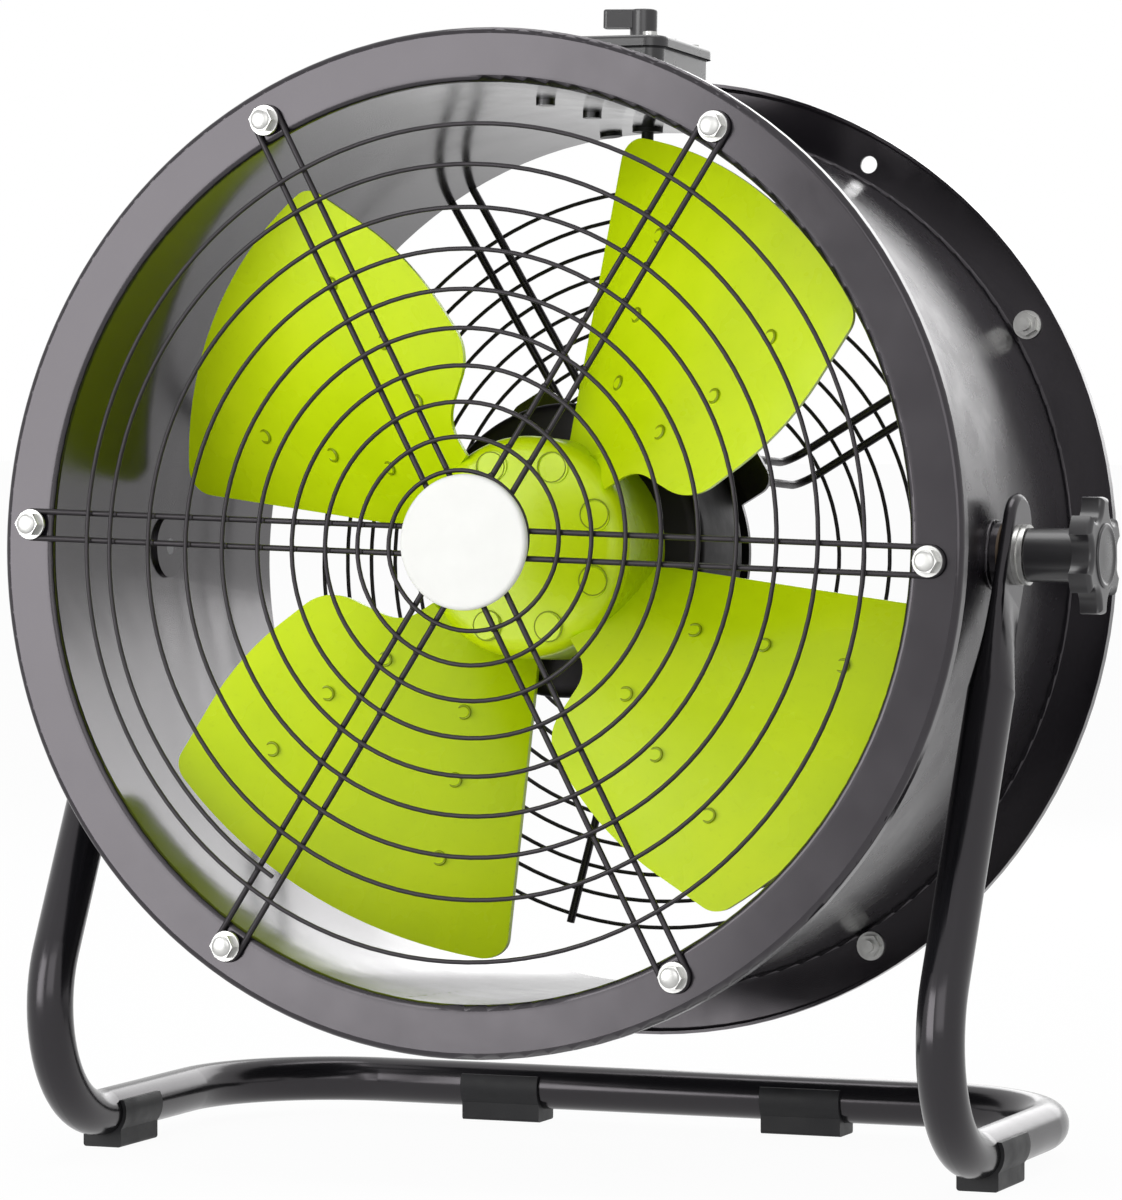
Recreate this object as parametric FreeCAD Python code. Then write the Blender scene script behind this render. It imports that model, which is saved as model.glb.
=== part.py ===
import FreeCAD, Part
import math
import os

# Floor fan: a sheet-steel drum with wire guards, carried between the ends of a bent tube stand.
# Millimetres. X to the right seen from the front, Y to the back, Z up, origin on the floor under the drum.
# Head pieces are drawn in the drum's own frame (axis along Y, centre at the origin) and then tilted and raised.
# Angles in the drum's frame run from +X towards +Z, as seen from the front.

V = FreeCAD.Vector
ORIGIN = V(0, 0, 0)
AXIS_X = V(1, 0, 0)
AXIS_Y = V(0, 1, 0)
AXIS_Z = V(0, 0, 1)
FULL_TURN = 360.0
HALF_TURN = 180.0
SIDES = {"right": 1, "left": -1}

# Fits and clearances
SLIP = 0.05
RUN = 0.03
HOLE_PLAY = 0.3
FACE_PLAY = 0.3

# Drum
DRUM_BORE = 420.0
DRUM_DEPTH = 250.0
SHEET = 1.5
FLANGE_WIDTH = 25.0
FLANGE_LIP = 8.0
FLANGE_BEND = 3.0
REST_TILT = 3.0
PATTERN_TURN = -1.7
SPARE_HOLE = 8.5
SPARE_HOLE_ANGLES = (63.0, 243.0)

# Guard bolts
BOLT = 6.0
BOLT_INSET = 15.0
HEX = 10.0
HEX_HEIGHT = 4.5
WASHER_FACE = 14.0
WASHER_THICK = 1.5
NUT_HEIGHT = 5.0
BOLT_TAIL = 2.5

# Front guard
FRONT_SPOKES = 6
SPOKE_WIRE = 2.7
SPOKE_GAP = 12.5
SPOKE_INNER = 22.0
COIL_WIRE = 2.1
OUTER_RING_INSET = 29.5
COIL_INSET = 9.4
COIL_START = 23.4
COIL_START_ANGLE = 210.0
COIL_END_ANGLE = 240.0
COIL_FULL_TURNS = 9
COIL_OPENING = 0.306
DISC = 62.0
DISC_THICK = 3.2

# Rear guard and motor arms
ARMS = 4
ARM_ANGLE = 33.0
ARM_WIRE = 4.0
ARM_GAP = 13.0
ARM_REACH = 80.0
ARM_BEND = 12.0
REAR_WIRE = 2.0
REAR_RING_FIRST = 92.0
REAR_RING_STEP = 13.0
REAR_RING_MARGIN = 25.0
REAR_SPOKE_ANGLE = 78.0
REAR_SPOKE_OVERHANG = 4.0

# Motor
SEAT_Y = -8.0
CAN = 140.0
CAN_WALL = 3.5
CAN_FACE = 5.0
CAN_LENGTH = 58.0
CAN_BEND = 6.0
CAN_GAP = 2.0
BASE_STEP = 8.0
BASE_THICK = 8.0
PLATE_THICK = 3.0
PLATE_EDGE = 8.0
PLATE_EAR = 27.0
SLEEVE = 36.0
SHAFT = 12.0
BEARING = 28.0
BEARING_WIDTH = 8.0
CAGE_THICK = 18.0
CORE_LENGTH = 26.0
AIR_GAP = 0.5
WINDING_RADIAL = 16.0
WINDING_LENGTH = 7.0
BASE_SCREW = 5.0
BASE_SCREW_INSET = 17.0
COOLING_HOLE = 14.0

# Impeller
BLADES = 4
TIP_GAP = 12.0
HUB = 104.0
HUB_WALL = 4.0
HUB_LENGTH = 54.0
HUB_ROUND = 9.0
BLADE_SHEET = 3.3
TRAILING_ANGLE = 84.0
TIP_SPAN = 51.0
SPAN_GROWTH = 0.157
TIP_TRAILING_Y = 0.0
ROOT_TRAILING_Y = -15.0
TIP_RISE = 74.0
ROOT_RISE = 60.0
CAMBER = 6.0
SHOULDER_RADIUS = 92.0
SHOULDER_ROUND = 22.0
NECK_RADIUS = 68.0
NECK_ANGLE = 50.0
NECK_ROUND = 16.0
TIP_ROUND = 11.0
HUB_SCREWS = 8
HUB_SCREW_ANGLE = 22.5
HUB_SCREW = 5.0
HUB_SCREW_DEPTH = 16.0
HUB_SCREW_HEAD = 3.0
HUB_SCREW_CIRCLE = 80.0
HUB_BOSS = 14.0
HUB_BOSS_PROUD = 0.8

# Stand
TUBE = 22.0
TUBE_WALL = 1.5
LEG_RAKE = 28.5
LEG_BEND = 56.0
PIVOT_RISE = 271.0
REAR_REACH = 120.0
CORNER_BEND = 75.0
FLAT_THICK = 6.0
FLAT_WIDTH = 32.0
FLAT_TAIL = 30.0
FLAT_LENGTH = 22.0
FLAT_BLEND = 48.0

# Feet
FOOT_PAD = 6.0
FOOT_LENGTH = 41.0
FOOT_WALL = 1.9
FOOT_GRIP = 6.0
FOOT_TREAD = 20.0
FOOT_EDGE = 1.5
REAR_FOOT_X = 79.0

# Pivots and clamp knobs
STUD = 8.0
PIVOT_BOSS = 30.0
BOSS_PROUD = 4.5
BOSS_INSIDE = 2.0
FRICTION_PAD = 1.0
CLAMP_WASHER = 28.0
CLAMP_WASHER_THICK = 5.0
CLAMP_WASHER_GROOVE = 1.2
KNOB_NECK = 25.0
KNOB_NECK_LENGTH = 25.5
KNOB_HEAD = 54.0
KNOB_HEAD_THICK = 10.5
KNOB_LOBES = 6
KNOB_SCALLOP = 19.0
KNOB_ROUND = 2.5

# Switch box
BOX_Y = -9.5
BOX_WIDTH = 116.0
BOX_LENGTH = 71.0
BOX_RISE = 21.5
BOX_WALL = 2.5
BOX_CORNER = 7.0
GASKET = 1.0
LID_THICK = 5.0
LID_LAP = 2.0
LID_ROUND = 1.8
LID_SCREW = 3.5
LID_SCREW_HEAD = 7.0
LID_SCREW_INSET = 7.0
LID_SCREW_LENGTH = 12.0
POST = 9.0
BOX_SCREW = 4.0
BOX_SCREW_HEAD = 9.0
BOX_SCREW_HEAD_THICK = 2.5
BOX_SCREW_INSET = 5.0
SWITCH_INSET = 21.0
SWITCH = 28.0
SWITCH_DEPTH = 16.0
SPINDLE = 6.0
SPINDLE_SEAT = 8.0
KNOB_STEM = 13.0
KNOB_HEIGHT = 15.7
POINTER_REACH = 19.0
POINTER_WIDTH = 8.5
POINTER_HEIGHT = 8.7
POINTER_ANGLE = 190.0
SPINDLE_REACH = 7.0
CAPACITOR_SHARE = 0.26
CAPACITOR_HEIGHT = 15.0
TERMINAL_SHARE = 0.10
TERMINAL_HEIGHT = 12.0
FITTING_SPACE = 13.0
GLAND_THREAD = 13.0
GLAND_HEX = 17.0
GLAND_HEX_THICK = 6.0
GLAND_DOME = 15.0
GLAND_DOME_LENGTH = 13.0

# Motor cable, out of the box's back, in through the drum wall and down behind the motor
CABLE = 6.0
CABLE_BEND = 12.0
CABLE_X = 0.0
CABLE_Y = 97.0
CABLE_DROP = 14.0
CABLE_SLANT = 45.0
CABLE_SWEEP = 30.0
GROMMET_COLLAR = 15.0
GROMMET_THICK = 2.0

# Blanking plug in the drum wall near the back
PLUG = 8.0
PLUG_COLLAR = 11.0
PLUG_THICK = 1.6
PLUG_Y = 108.0
PLUG_ANGLE = 96.4

# Sizes that follow
BORE_R = DRUM_BORE / 2
SHELL_R = BORE_R + SHEET
RIM_R = BORE_R + FLANGE_WIDTH
HALF_DEPTH = DRUM_DEPTH / 2
BOLT_R = RIM_R - BOLT_INSET
SPOKE_Y = -HALF_DEPTH - SPOKE_WIRE / 2
COIL_Y = -HALF_DEPTH - SPOKE_WIRE - COIL_WIRE / 2
OUTER_RING_R = BOLT_R - OUTER_RING_INSET
COIL_END = OUTER_RING_R - COIL_INSET
COIL_TURNS = COIL_FULL_TURNS + (COIL_END_ANGLE - COIL_START_ANGLE) / FULL_TURN
COIL_PITCH = (COIL_END - COIL_START) / COIL_TURNS - COIL_OPENING * COIL_TURNS
ARM_Y = HALF_DEPTH + ARM_WIRE / 2
REAR_RING_Y = HALF_DEPTH + ARM_WIRE + REAR_WIRE / 2
CAN_R = CAN / 2
CAN_END_Y = SEAT_Y + CAN_LENGTH
BASE = CAN - 2 * BASE_STEP
BASE_SCREW_CIRCLE = BASE - 2 * BASE_SCREW_INSET
CORE = CAN - 2 * (CAN_WALL + CAGE_THICK + AIR_GAP)
BASE_Y = CAN_END_Y + CAN_GAP
PLATE_Y = BASE_Y + BASE_THICK
PLATE_END_Y = PLATE_Y + PLATE_THICK
CORE_Y = (SEAT_Y + CAN_FACE + BASE_Y - CORE_LENGTH) / 2
SLEEVE_Y = SEAT_Y + CAN_FACE + CAN_GAP
TIP_R = BORE_R - TIP_GAP
HUB_R = HUB / 2
HUB_FRONT_Y = SEAT_Y - HUB_LENGTH
TUBE_R = TUBE / 2
RUN_Z = FOOT_PAD + TUBE_R
PIVOT_Z = RUN_Z + PIVOT_RISE
BOSS_FACE = SHELL_R + BOSS_PROUD
FLAT_FACE = BOSS_FACE + FRICTION_PAD
LEG_X = FLAT_FACE + FLAT_THICK / 2
WASHER_X = FLAT_FACE + FLAT_THICK
KNOB_X = WASHER_X + CLAMP_WASHER_THICK
BOX_TOP = SHELL_R + BOX_RISE
LID_Z = BOX_TOP + GASKET
LID_TOP = LID_Z + LID_THICK
BOX_SCREW_SPACING = BOX_LENGTH - 2 * BOX_SCREW_INSET
SWITCH_X = BOX_WIDTH / 2 - SWITCH_INSET
FITTING_LENGTH = BOX_LENGTH - 2 * FITTING_SPACE
CAPACITOR_SIZE = (BOX_WIDTH * CAPACITOR_SHARE, FITTING_LENGTH, CAPACITOR_HEIGHT)
CAPACITOR_X = -BOX_WIDTH * CAPACITOR_SHARE
TERMINAL_SIZE = (BOX_WIDTH * TERMINAL_SHARE, FITTING_LENGTH, TERMINAL_HEIGHT)
TERMINAL_X = BOX_WIDTH * TERMINAL_SHARE / 2
GLAND_X = CAPACITOR_X
BOX_BACK = BOX_Y + BOX_LENGTH / 2
GLAND_Z = SHELL_R + CABLE_BEND + FACE_PLAY
CABLE_HOLE_ANGLE = ARM_ANGLE - HALF_TURN / ARMS


def polar(radius, degrees, y=0.0):
    angle = math.radians(degrees)
    return V(radius * math.cos(angle), y, radius * math.sin(angle))


def turned(shape, degrees):
    """A copy turned about the drum's axis."""
    copy = shape.copy()
    copy.rotate(ORIGIN, V(0, -1, 0), degrees)
    return copy


def around(shape, count, first):
    """Copies of a shape drawn at angle 0, spaced evenly about the drum's axis."""
    return [turned(shape, first + PATTERN_TURN + FULL_TURN * i / count) for i in range(count)]


def cylinder_y(radius, y0, y1, x=0.0, z=0.0):
    return Part.makeCylinder(radius, y1 - y0, V(x, y0, z), AXIS_Y)


def ring_y(outer, inner, y0, y1):
    return cylinder_y(outer, y0, y1).cut(cylinder_y(inner, y0, y1))


def cylinder_z(radius, z0, z1, x=0.0, y=0.0):
    return Part.makeCylinder(radius, z1 - z0, V(x, y, z0), AXIS_Z)


def cylinder_x(radius, x0, x1, y=0.0, z=0.0):
    return Part.makeCylinder(radius, x1 - x0, V(x0, y, z), AXIS_X)


def line(start, end):
    return Part.LineSegment(start, end).toShape()


def arc(start, middle, end):
    return Part.Arc(start, middle, end).toShape()


def rounded_face(corners, place):
    """A face from corners (a, b, rounding); place turns a flat vector into one in space."""
    runs = []
    count = len(corners)
    for i, (a, b, rounding) in enumerate(corners):
        here = V(a, b, 0)
        if not rounding:
            runs.append((here, None, here))
            continue
        before = corners[i - 1]
        after = corners[(i + 1) % count]
        back = (V(before[0], before[1], 0) - here).normalize()
        ahead = (V(after[0], after[1], 0) - here).normalize()
        half = back.getAngle(ahead) / 2
        inward = (back + ahead).normalize()
        reach = rounding / math.tan(half)
        middle = here + inward * (rounding / math.sin(half) - rounding)
        runs.append((here + back * reach, middle, here + ahead * reach))
    edges = []
    for i, (start, middle, end) in enumerate(runs):
        if middle is not None:
            edges.append(arc(place(start), place(middle), place(end)))
        following = runs[(i + 1) % count][0]
        if (following - end).Length > 1e-6:
            edges.append(line(place(end), place(following)))
    return Part.Face(Part.Wire(edges))


def spin(corners):
    """A solid of revolution about the drum's axis from corners (radius, y, rounding)."""
    face = rounded_face(corners, lambda p: V(p.x, p.y, 0))
    return face.revolve(ORIGIN, AXIS_Y, FULL_TURN)


def rod(edges, radius):
    """A round wire along a path of straight runs and tangent arcs."""
    path = Part.Wire(edges)
    first = edges[0]
    start = first.valueAt(first.FirstParameter)
    heading = first.tangentAt(first.FirstParameter)
    section = Part.Wire([Part.Circle(start, heading, radius).toShape()])
    return path.makePipeShell([section], True, False)


def hex_y(across, y0, y1, x=0.0, z=0.0):
    corner = across / math.sqrt(3)
    points = [polar(corner, 60 * i, y0) + V(x, 0, z) for i in range(7)]
    return Part.Face(Part.makePolygon(points)).extrude(V(0, y1 - y0, 0))


def bolt_y(seat, tip, ahead):
    """A hex bolt with a washer face at bolt-circle radius; ahead is the way its head points along Y."""
    washer_end = seat + ahead * WASHER_THICK
    head_end = washer_end + ahead * HEX_HEIGHT
    washer = cylinder_y(WASHER_FACE / 2, min(seat, washer_end), max(seat, washer_end), BOLT_R)
    head = hex_y(HEX, min(washer_end, head_end), max(washer_end, head_end), BOLT_R)
    shank = cylinder_y(BOLT / 2, min(seat, tip), max(seat, tip), BOLT_R)
    return washer.fuse([head, shank]).removeSplitter()


def nut_y(seat, ahead):
    """A hex nut with a washer face on the bolt circle."""
    washer_end = seat + ahead * WASHER_THICK
    nut_end = seat + ahead * NUT_HEIGHT
    washer = cylinder_y(WASHER_FACE / 2, min(seat, washer_end), max(seat, washer_end), BOLT_R)
    body = hex_y(HEX, min(seat, nut_end), max(seat, nut_end), BOLT_R)
    hole = cylinder_y(BOLT / 2 + SLIP, min(seat, nut_end), max(seat, nut_end), BOLT_R)
    return washer.fuse(body).removeSplitter().cut(hole)


def head_place(shape):
    """From the drum's frame to the floor's frame, at the resting tilt (front up)."""
    placed = shape.copy()
    placed.rotate(ORIGIN, AXIS_X, -REST_TILT)
    placed.translate(V(0, 0, PIVOT_Z))
    return placed


def drum_shell():
    inner_bend = FLANGE_BEND - SHEET
    lip = RIM_R - SHEET
    front = -HALF_DEPTH
    rear = HALF_DEPTH
    shell = spin([
        (BORE_R, front, FLANGE_BEND),
        (RIM_R, front, FLANGE_BEND),
        (RIM_R, front + FLANGE_LIP, 0),
        (lip, front + FLANGE_LIP, 0),
        (lip, front + SHEET, inner_bend),
        (SHELL_R, front + SHEET, inner_bend),
        (SHELL_R, rear - SHEET, inner_bend),
        (lip, rear - SHEET, inner_bend),
        (lip, rear - FLANGE_LIP, 0),
        (RIM_R, rear - FLANGE_LIP, 0),
        (RIM_R, rear, FLANGE_BEND),
        (BORE_R, rear, FLANGE_BEND),
    ])
    hole_r = BOLT / 2 + HOLE_PLAY
    cuts = around(cylinder_y(hole_r, front, front + SHEET, BOLT_R), FRONT_SPOKES, 0)
    cuts += around(cylinder_y(hole_r, rear - SHEET, rear, BOLT_R), ARMS, ARM_ANGLE)
    spare = cylinder_y(SPARE_HOLE / 2, rear - SHEET, rear, BOLT_R)
    cuts += [turned(spare, angle + PATTERN_TURN) for angle in SPARE_HOLE_ANGLES]
    for side in SIDES.values():
        boss = cylinder_x(PIVOT_BOSS / 2, 0, side * RIM_R) if side > 0 else cylinder_x(PIVOT_BOSS / 2, -RIM_R, 0)
        cuts.append(boss)
    for end in (-1, 1):
        cuts.append(cylinder_z(BOX_SCREW / 2 + HOLE_PLAY, 0, RIM_R, 0, BOX_Y + end * BOX_SCREW_SPACING / 2))
    cuts.append(cylinder_z(CABLE / 2 + GROMMET_THICK, 0, RIM_R, CABLE_X, CABLE_Y))
    cuts.append(turned(cylinder_z(PLUG / 2 + SLIP, 0, RIM_R, 0, PLUG_Y), PLUG_ANGLE - 90))
    return shell.cut(cuts)


def pivot_boss(side):
    """Threaded boss let into the drum wall, with its outer face proud of the wall."""
    inner = BORE_R - BOSS_INSIDE
    boss = cylinder_x(PIVOT_BOSS / 2, inner, BOSS_FACE)
    boss = boss.cut(cylinder_x(STUD / 2 + RUN, inner, BOSS_FACE))
    return mirrored(boss, side)


def mirrored(shape, side):
    """The right-hand piece itself, or its mirror image for the left."""
    return shape if side > 0 else shape.mirror(ORIGIN, AXIS_X)


def front_guard():
    inner = SPOKE_INNER
    half = SPOKE_GAP / 2
    y = SPOKE_Y
    hairpin = rod([
        line(V(inner, y, -half), V(BOLT_R, y, -half)),
        arc(V(BOLT_R, y, -half), V(BOLT_R + half, y, 0), V(BOLT_R, y, half)),
        line(V(BOLT_R, y, half), V(inner, y, half)),
    ], SPOKE_WIRE / 2)
    outer_ring = Part.makeTorus(OUTER_RING_R, COIL_WIRE / 2, V(0, COIL_Y, 0), AXIS_Y)
    return Part.makeCompound(around(hairpin, FRONT_SPOKES, 0) + [turned(guard_coil(), PATTERN_TURN), outer_ring])


def coil_radius(turns):
    return COIL_START + COIL_PITCH * turns + COIL_OPENING * turns ** 2


def guard_coil():
    """One wire wound in a flat spiral of half circles, each tangent to the next."""
    edges = []
    radii = []
    for half in range(2 * COIL_FULL_TURNS + 1):
        angle = COIL_START_ANGLE + HALF_TURN * half
        here = polar(coil_radius(half / 2), angle, COIL_Y)
        there = polar(coil_radius((half + 1) / 2), angle + HALF_TURN, COIL_Y)
        centre = (here + there) * 0.5
        radius = (here - there).Length / 2
        sweep = HALF_TURN if half < 2 * COIL_FULL_TURNS else COIL_END_ANGLE - COIL_START_ANGLE
        edges.append(arc(here, centre + polar(radius, angle + sweep / 2), centre + polar(radius, angle + sweep)))
        radii.append(coil_radius(half / 2))
    least = min(outer - inner for inner, outer in zip(radii, radii[2:])) - COIL_WIRE
    print("front guard coil: least gap between turns %.2f mm" % least)
    return rod(edges, COIL_WIRE / 2)


def guard_disc():
    back = COIL_Y - COIL_WIRE / 2
    front = back - DISC_THICK
    radius = DISC / 2
    return spin([(0, back, 0), (radius, back, 0), (radius, front, DISC_THICK * 0.7), (0, front, 0)])


def front_bolts():
    tip = -HALF_DEPTH + SHEET + NUT_HEIGHT + BOLT_TAIL
    return Part.makeCompound(around(bolt_y(-HALF_DEPTH - SPOKE_WIRE, tip, -1), FRONT_SPOKES, 0))


def front_nuts():
    return Part.makeCompound(around(nut_y(-HALF_DEPTH + SHEET, 1), FRONT_SPOKES, 0))


def rear_bolts():
    tip = HALF_DEPTH - SHEET - NUT_HEIGHT - BOLT_TAIL
    return Part.makeCompound(around(bolt_y(HALF_DEPTH + ARM_WIRE, tip, 1), ARMS, ARM_ANGLE))


def rear_nuts():
    return Part.makeCompound(around(nut_y(HALF_DEPTH - SHEET, -1), ARMS, ARM_ANGLE))


def rear_ring_radii():
    last = BORE_R - REAR_RING_MARGIN
    count = int((last - REAR_RING_FIRST) / REAR_RING_STEP) + 1
    return [REAR_RING_FIRST + REAR_RING_STEP * i for i in range(count)]


def rear_guard():
    radii = rear_ring_radii()
    rings = [Part.makeTorus(radius, REAR_WIRE / 2, V(0, REAR_RING_Y, 0), AXIS_Y) for radius in radii]
    inner = radii[0] - REAR_SPOKE_OVERHANG
    outer = radii[-1] + REAR_SPOKE_OVERHANG
    spoke = Part.makeCylinder(ARM_WIRE / 2, outer - inner, V(inner, ARM_Y, 0), AXIS_X)
    return Part.makeCompound(rings + around(spoke, ARMS, REAR_SPOKE_ANGLE))


def motor_arms():
    """Thick hairpins: looped round the rear bolts, run in along the guard, then bent forward to the motor plate."""
    half = ARM_GAP / 2
    turn_u = ARM_REACH + ARM_BEND
    turn_y = ARM_Y - ARM_BEND
    inset = ARM_BEND * (1 - math.sqrt(0.5))

    def bend(z):
        return [V(ARM_REACH, turn_y, z), V(ARM_REACH + inset, ARM_Y - inset, z), V(turn_u, ARM_Y, z)]

    down = bend(-half)
    up = bend(half)
    hairpin = rod([
        line(V(ARM_REACH, PLATE_END_Y, -half), down[0]),
        arc(down[0], down[1], down[2]),
        line(down[2], V(BOLT_R, ARM_Y, -half)),
        arc(V(BOLT_R, ARM_Y, -half), V(BOLT_R + half, ARM_Y, 0), V(BOLT_R, ARM_Y, half)),
        line(V(BOLT_R, ARM_Y, half), up[2]),
        arc(up[2], up[1], up[0]),
        line(up[0], V(ARM_REACH, PLATE_END_Y, half)),
    ], ARM_WIRE / 2)
    return Part.makeCompound(around(hairpin, ARMS, ARM_ANGLE))


def screw_y(shank, head, head_thick, seat, tip, radius):
    """A pan-head screw pointing to the front, drawn at angle 0."""
    cap = cylinder_y(head / 2, seat, seat + head_thick, radius)
    return cap.fuse(cylinder_y(shank / 2, tip, seat, radius)).removeSplitter()


def motor_plate():
    reach = ARM_REACH + PLATE_EDGE
    ear = Part.makeBox(reach, PLATE_THICK, PLATE_EAR, V(0, PLATE_Y, -PLATE_EAR / 2))
    tips = [edge for edge in ear.Edges if abs(edge.CenterOfMass.x - reach) < 0.01 and edge.Length < PLATE_EAR / 2]
    ear = ear.makeFillet(PLATE_EDGE, tips)
    plate = cylinder_y(CAN_R, PLATE_Y, PLATE_END_Y).fuse(around(ear, ARMS, ARM_ANGLE)).removeSplitter()
    plate = plate.cut(cylinder_y(SLEEVE / 2, PLATE_Y, PLATE_END_Y))
    holes = around(cylinder_y(BASE_SCREW / 2 + HOLE_PLAY, PLATE_Y, PLATE_END_Y, BASE_SCREW_CIRCLE / 2), ARMS, ARM_ANGLE)
    between = ARM_ANGLE + HALF_TURN / ARMS
    holes += around(cylinder_y(COOLING_HOLE / 2, PLATE_Y, PLATE_END_Y, BASE_SCREW_CIRCLE / 2), ARMS, between)
    return plate.cut(holes)


def motor_base():
    """Cast base with the sleeve that carries the stator core and both bearings."""
    base = cylinder_y(BASE / 2, BASE_Y, PLATE_Y).fuse(cylinder_y(SLEEVE / 2, SLEEVE_Y, BASE_Y))
    base = base.removeSplitter().cut(cylinder_y(BEARING / 2, SLEEVE_Y, PLATE_Y))
    screws = cylinder_y(BASE_SCREW / 2 + SLIP, BASE_Y, PLATE_Y, BASE_SCREW_CIRCLE / 2)
    return base.cut(around(screws, ARMS, ARM_ANGLE))


def base_screws():
    screw = screw_y(BASE_SCREW, BASE_SCREW * 2, BASE_SCREW * 0.6, PLATE_END_Y, BASE_Y + CAN_GAP, BASE_SCREW_CIRCLE / 2)
    return Part.makeCompound(around(screw, ARMS, ARM_ANGLE))


def stator_core():
    return ring_y(CORE / 2, SLEEVE / 2, CORE_Y, CORE_Y + CORE_LENGTH)


def stator_windings():
    """The two rings of end turns, one each side of the core."""
    outer = CORE / 2 - AIR_GAP * 4
    inner = outer - WINDING_RADIAL
    rounding = WINDING_LENGTH * 0.45
    coils = []
    for seat, ahead in ((CORE_Y, -1), (CORE_Y + CORE_LENGTH, 1)):
        far = seat + ahead * WINDING_LENGTH
        coils.append(spin([(inner, seat, 0), (outer, seat, 0), (outer, far, rounding), (inner, far, rounding)]))
    return Part.makeCompound(coils)


def bearing(start):
    return ring_y(BEARING / 2 - SLIP, SHAFT / 2 + RUN, start, start + BEARING_WIDTH)


def rotor_can():
    """Deep cup that turns outside the stator, open to the back, with a shaft bore in its face."""
    inner = CAN_R - CAN_WALL
    face = SEAT_Y + CAN_FACE
    can = spin([
        (SHAFT / 2 + SLIP, SEAT_Y, 0),
        (CAN_R, SEAT_Y, CAN_BEND),
        (CAN_R, CAN_END_Y, 1.0),
        (inner, CAN_END_Y, 0),
        (inner, face, CAN_BEND - CAN_WALL),
        (SHAFT / 2 + SLIP, face, 0),
    ])
    taps = cylinder_y(HUB_SCREW / 2 + SLIP, SEAT_Y, face, HUB_SCREW_CIRCLE / 2)
    return can.cut(around(taps, HUB_SCREWS, HUB_SCREW_ANGLE))


def rotor_cage():
    return ring_y(CAN_R - CAN_WALL, CORE / 2 + AIR_GAP, CORE_Y, CORE_Y + CORE_LENGTH)


def motor_shaft():
    shaft = cylinder_y(SHAFT / 2, SEAT_Y, PLATE_Y)
    return shaft.makeChamfer(SHAFT * 0.06, [edge for edge in shaft.Edges if edge.Length < SHAFT * 4 and edge.Closed])


def blade_span(radius):
    return TIP_SPAN + SPAN_GROWTH * (TIP_R - radius)


def blade_point(radius, share):
    """A point of the blade's back skin; share runs from the trailing edge, 0, to the leading edge, 1."""
    outward = (radius - HUB_R) / (TIP_R - HUB_R)
    trailing = ROOT_TRAILING_Y + (TIP_TRAILING_Y - ROOT_TRAILING_Y) * outward
    rise = ROOT_RISE + (TIP_RISE - ROOT_RISE) * outward
    y = trailing - rise * share - CAMBER * 4 * share * (1 - share) - BLADE_SHEET
    return polar(radius, TRAILING_ANGLE - blade_span(radius) * share, y)


def blade_outline():
    """The blade's outline seen from the front, as a bar along Y."""
    lead = TRAILING_ANGLE - TIP_SPAN
    inner = HUB_R - HUB_WALL / 2
    middle = (TIP_R + SHOULDER_RADIUS) / 2
    beyond = TIP_R + 2 * TIP_ROUND
    corners = [
        (inner, TRAILING_ANGLE, 0),
        (beyond, TRAILING_ANGLE, 0),
        (beyond, lead + TIP_SPAN / 2, 0),
        (beyond, lead + SPAN_GROWTH * (beyond - TIP_R), 0),
        (middle, TRAILING_ANGLE - blade_span(middle) - 1.5, middle),
        (SHOULDER_RADIUS, TRAILING_ANGLE - blade_span(SHOULDER_RADIUS) - 2, SHOULDER_ROUND),
        (NECK_RADIUS, TRAILING_ANGLE - NECK_ANGLE, NECK_ROUND),
        (inner, TRAILING_ANGLE - NECK_ANGLE, 0),
    ]
    flat = [(polar(r, a).x, polar(r, a).z, rounding) for r, a, rounding in corners]
    low = ROOT_TRAILING_Y - 2 * TIP_RISE
    face = rounded_face(flat, lambda p: V(p.x, low, p.y))
    bar = face.extrude(V(0, 4 * TIP_RISE, 0))
    bar = bar.common(cylinder_y(TIP_R, low, low + 4 * TIP_RISE)).cut(cylinder_y(inner, low, low + 4 * TIP_RISE))
    tips = []
    for edge in bar.Edges:
        middle_point = edge.valueAt((edge.FirstParameter + edge.LastParameter) / 2)
        upright = abs(edge.tangentAt(edge.FirstParameter).y) > 0.99
        if upright and abs(math.hypot(middle_point.x, middle_point.z) - TIP_R) < 0.01:
            tips.append(edge)
    return bar.makeFillet(TIP_ROUND, tips)


def impeller():
    steps = 8
    spread = 0.12
    inner = HUB_R - 2 * HUB_WALL
    outer = TIP_R + TIP_ROUND
    grid = []
    for i in range(steps):
        radius = inner + (outer - inner) * i / (steps - 1)
        shares = [-spread + (1 + 2 * spread) * j / (steps - 1) for j in range(steps)]
        grid.append([blade_point(radius, share) for share in shares])
    skin = Part.BSplineSurface()
    skin.interpolate(grid)
    blade = skin.toShape().extrude(V(0, BLADE_SHEET, 0)).common(blade_outline())
    hub = impeller_hub()
    blades = [turned(blade, PATTERN_TURN + FULL_TURN * i / BLADES) for i in range(BLADES)]
    return hub.fuse(blades).removeSplitter()


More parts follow.
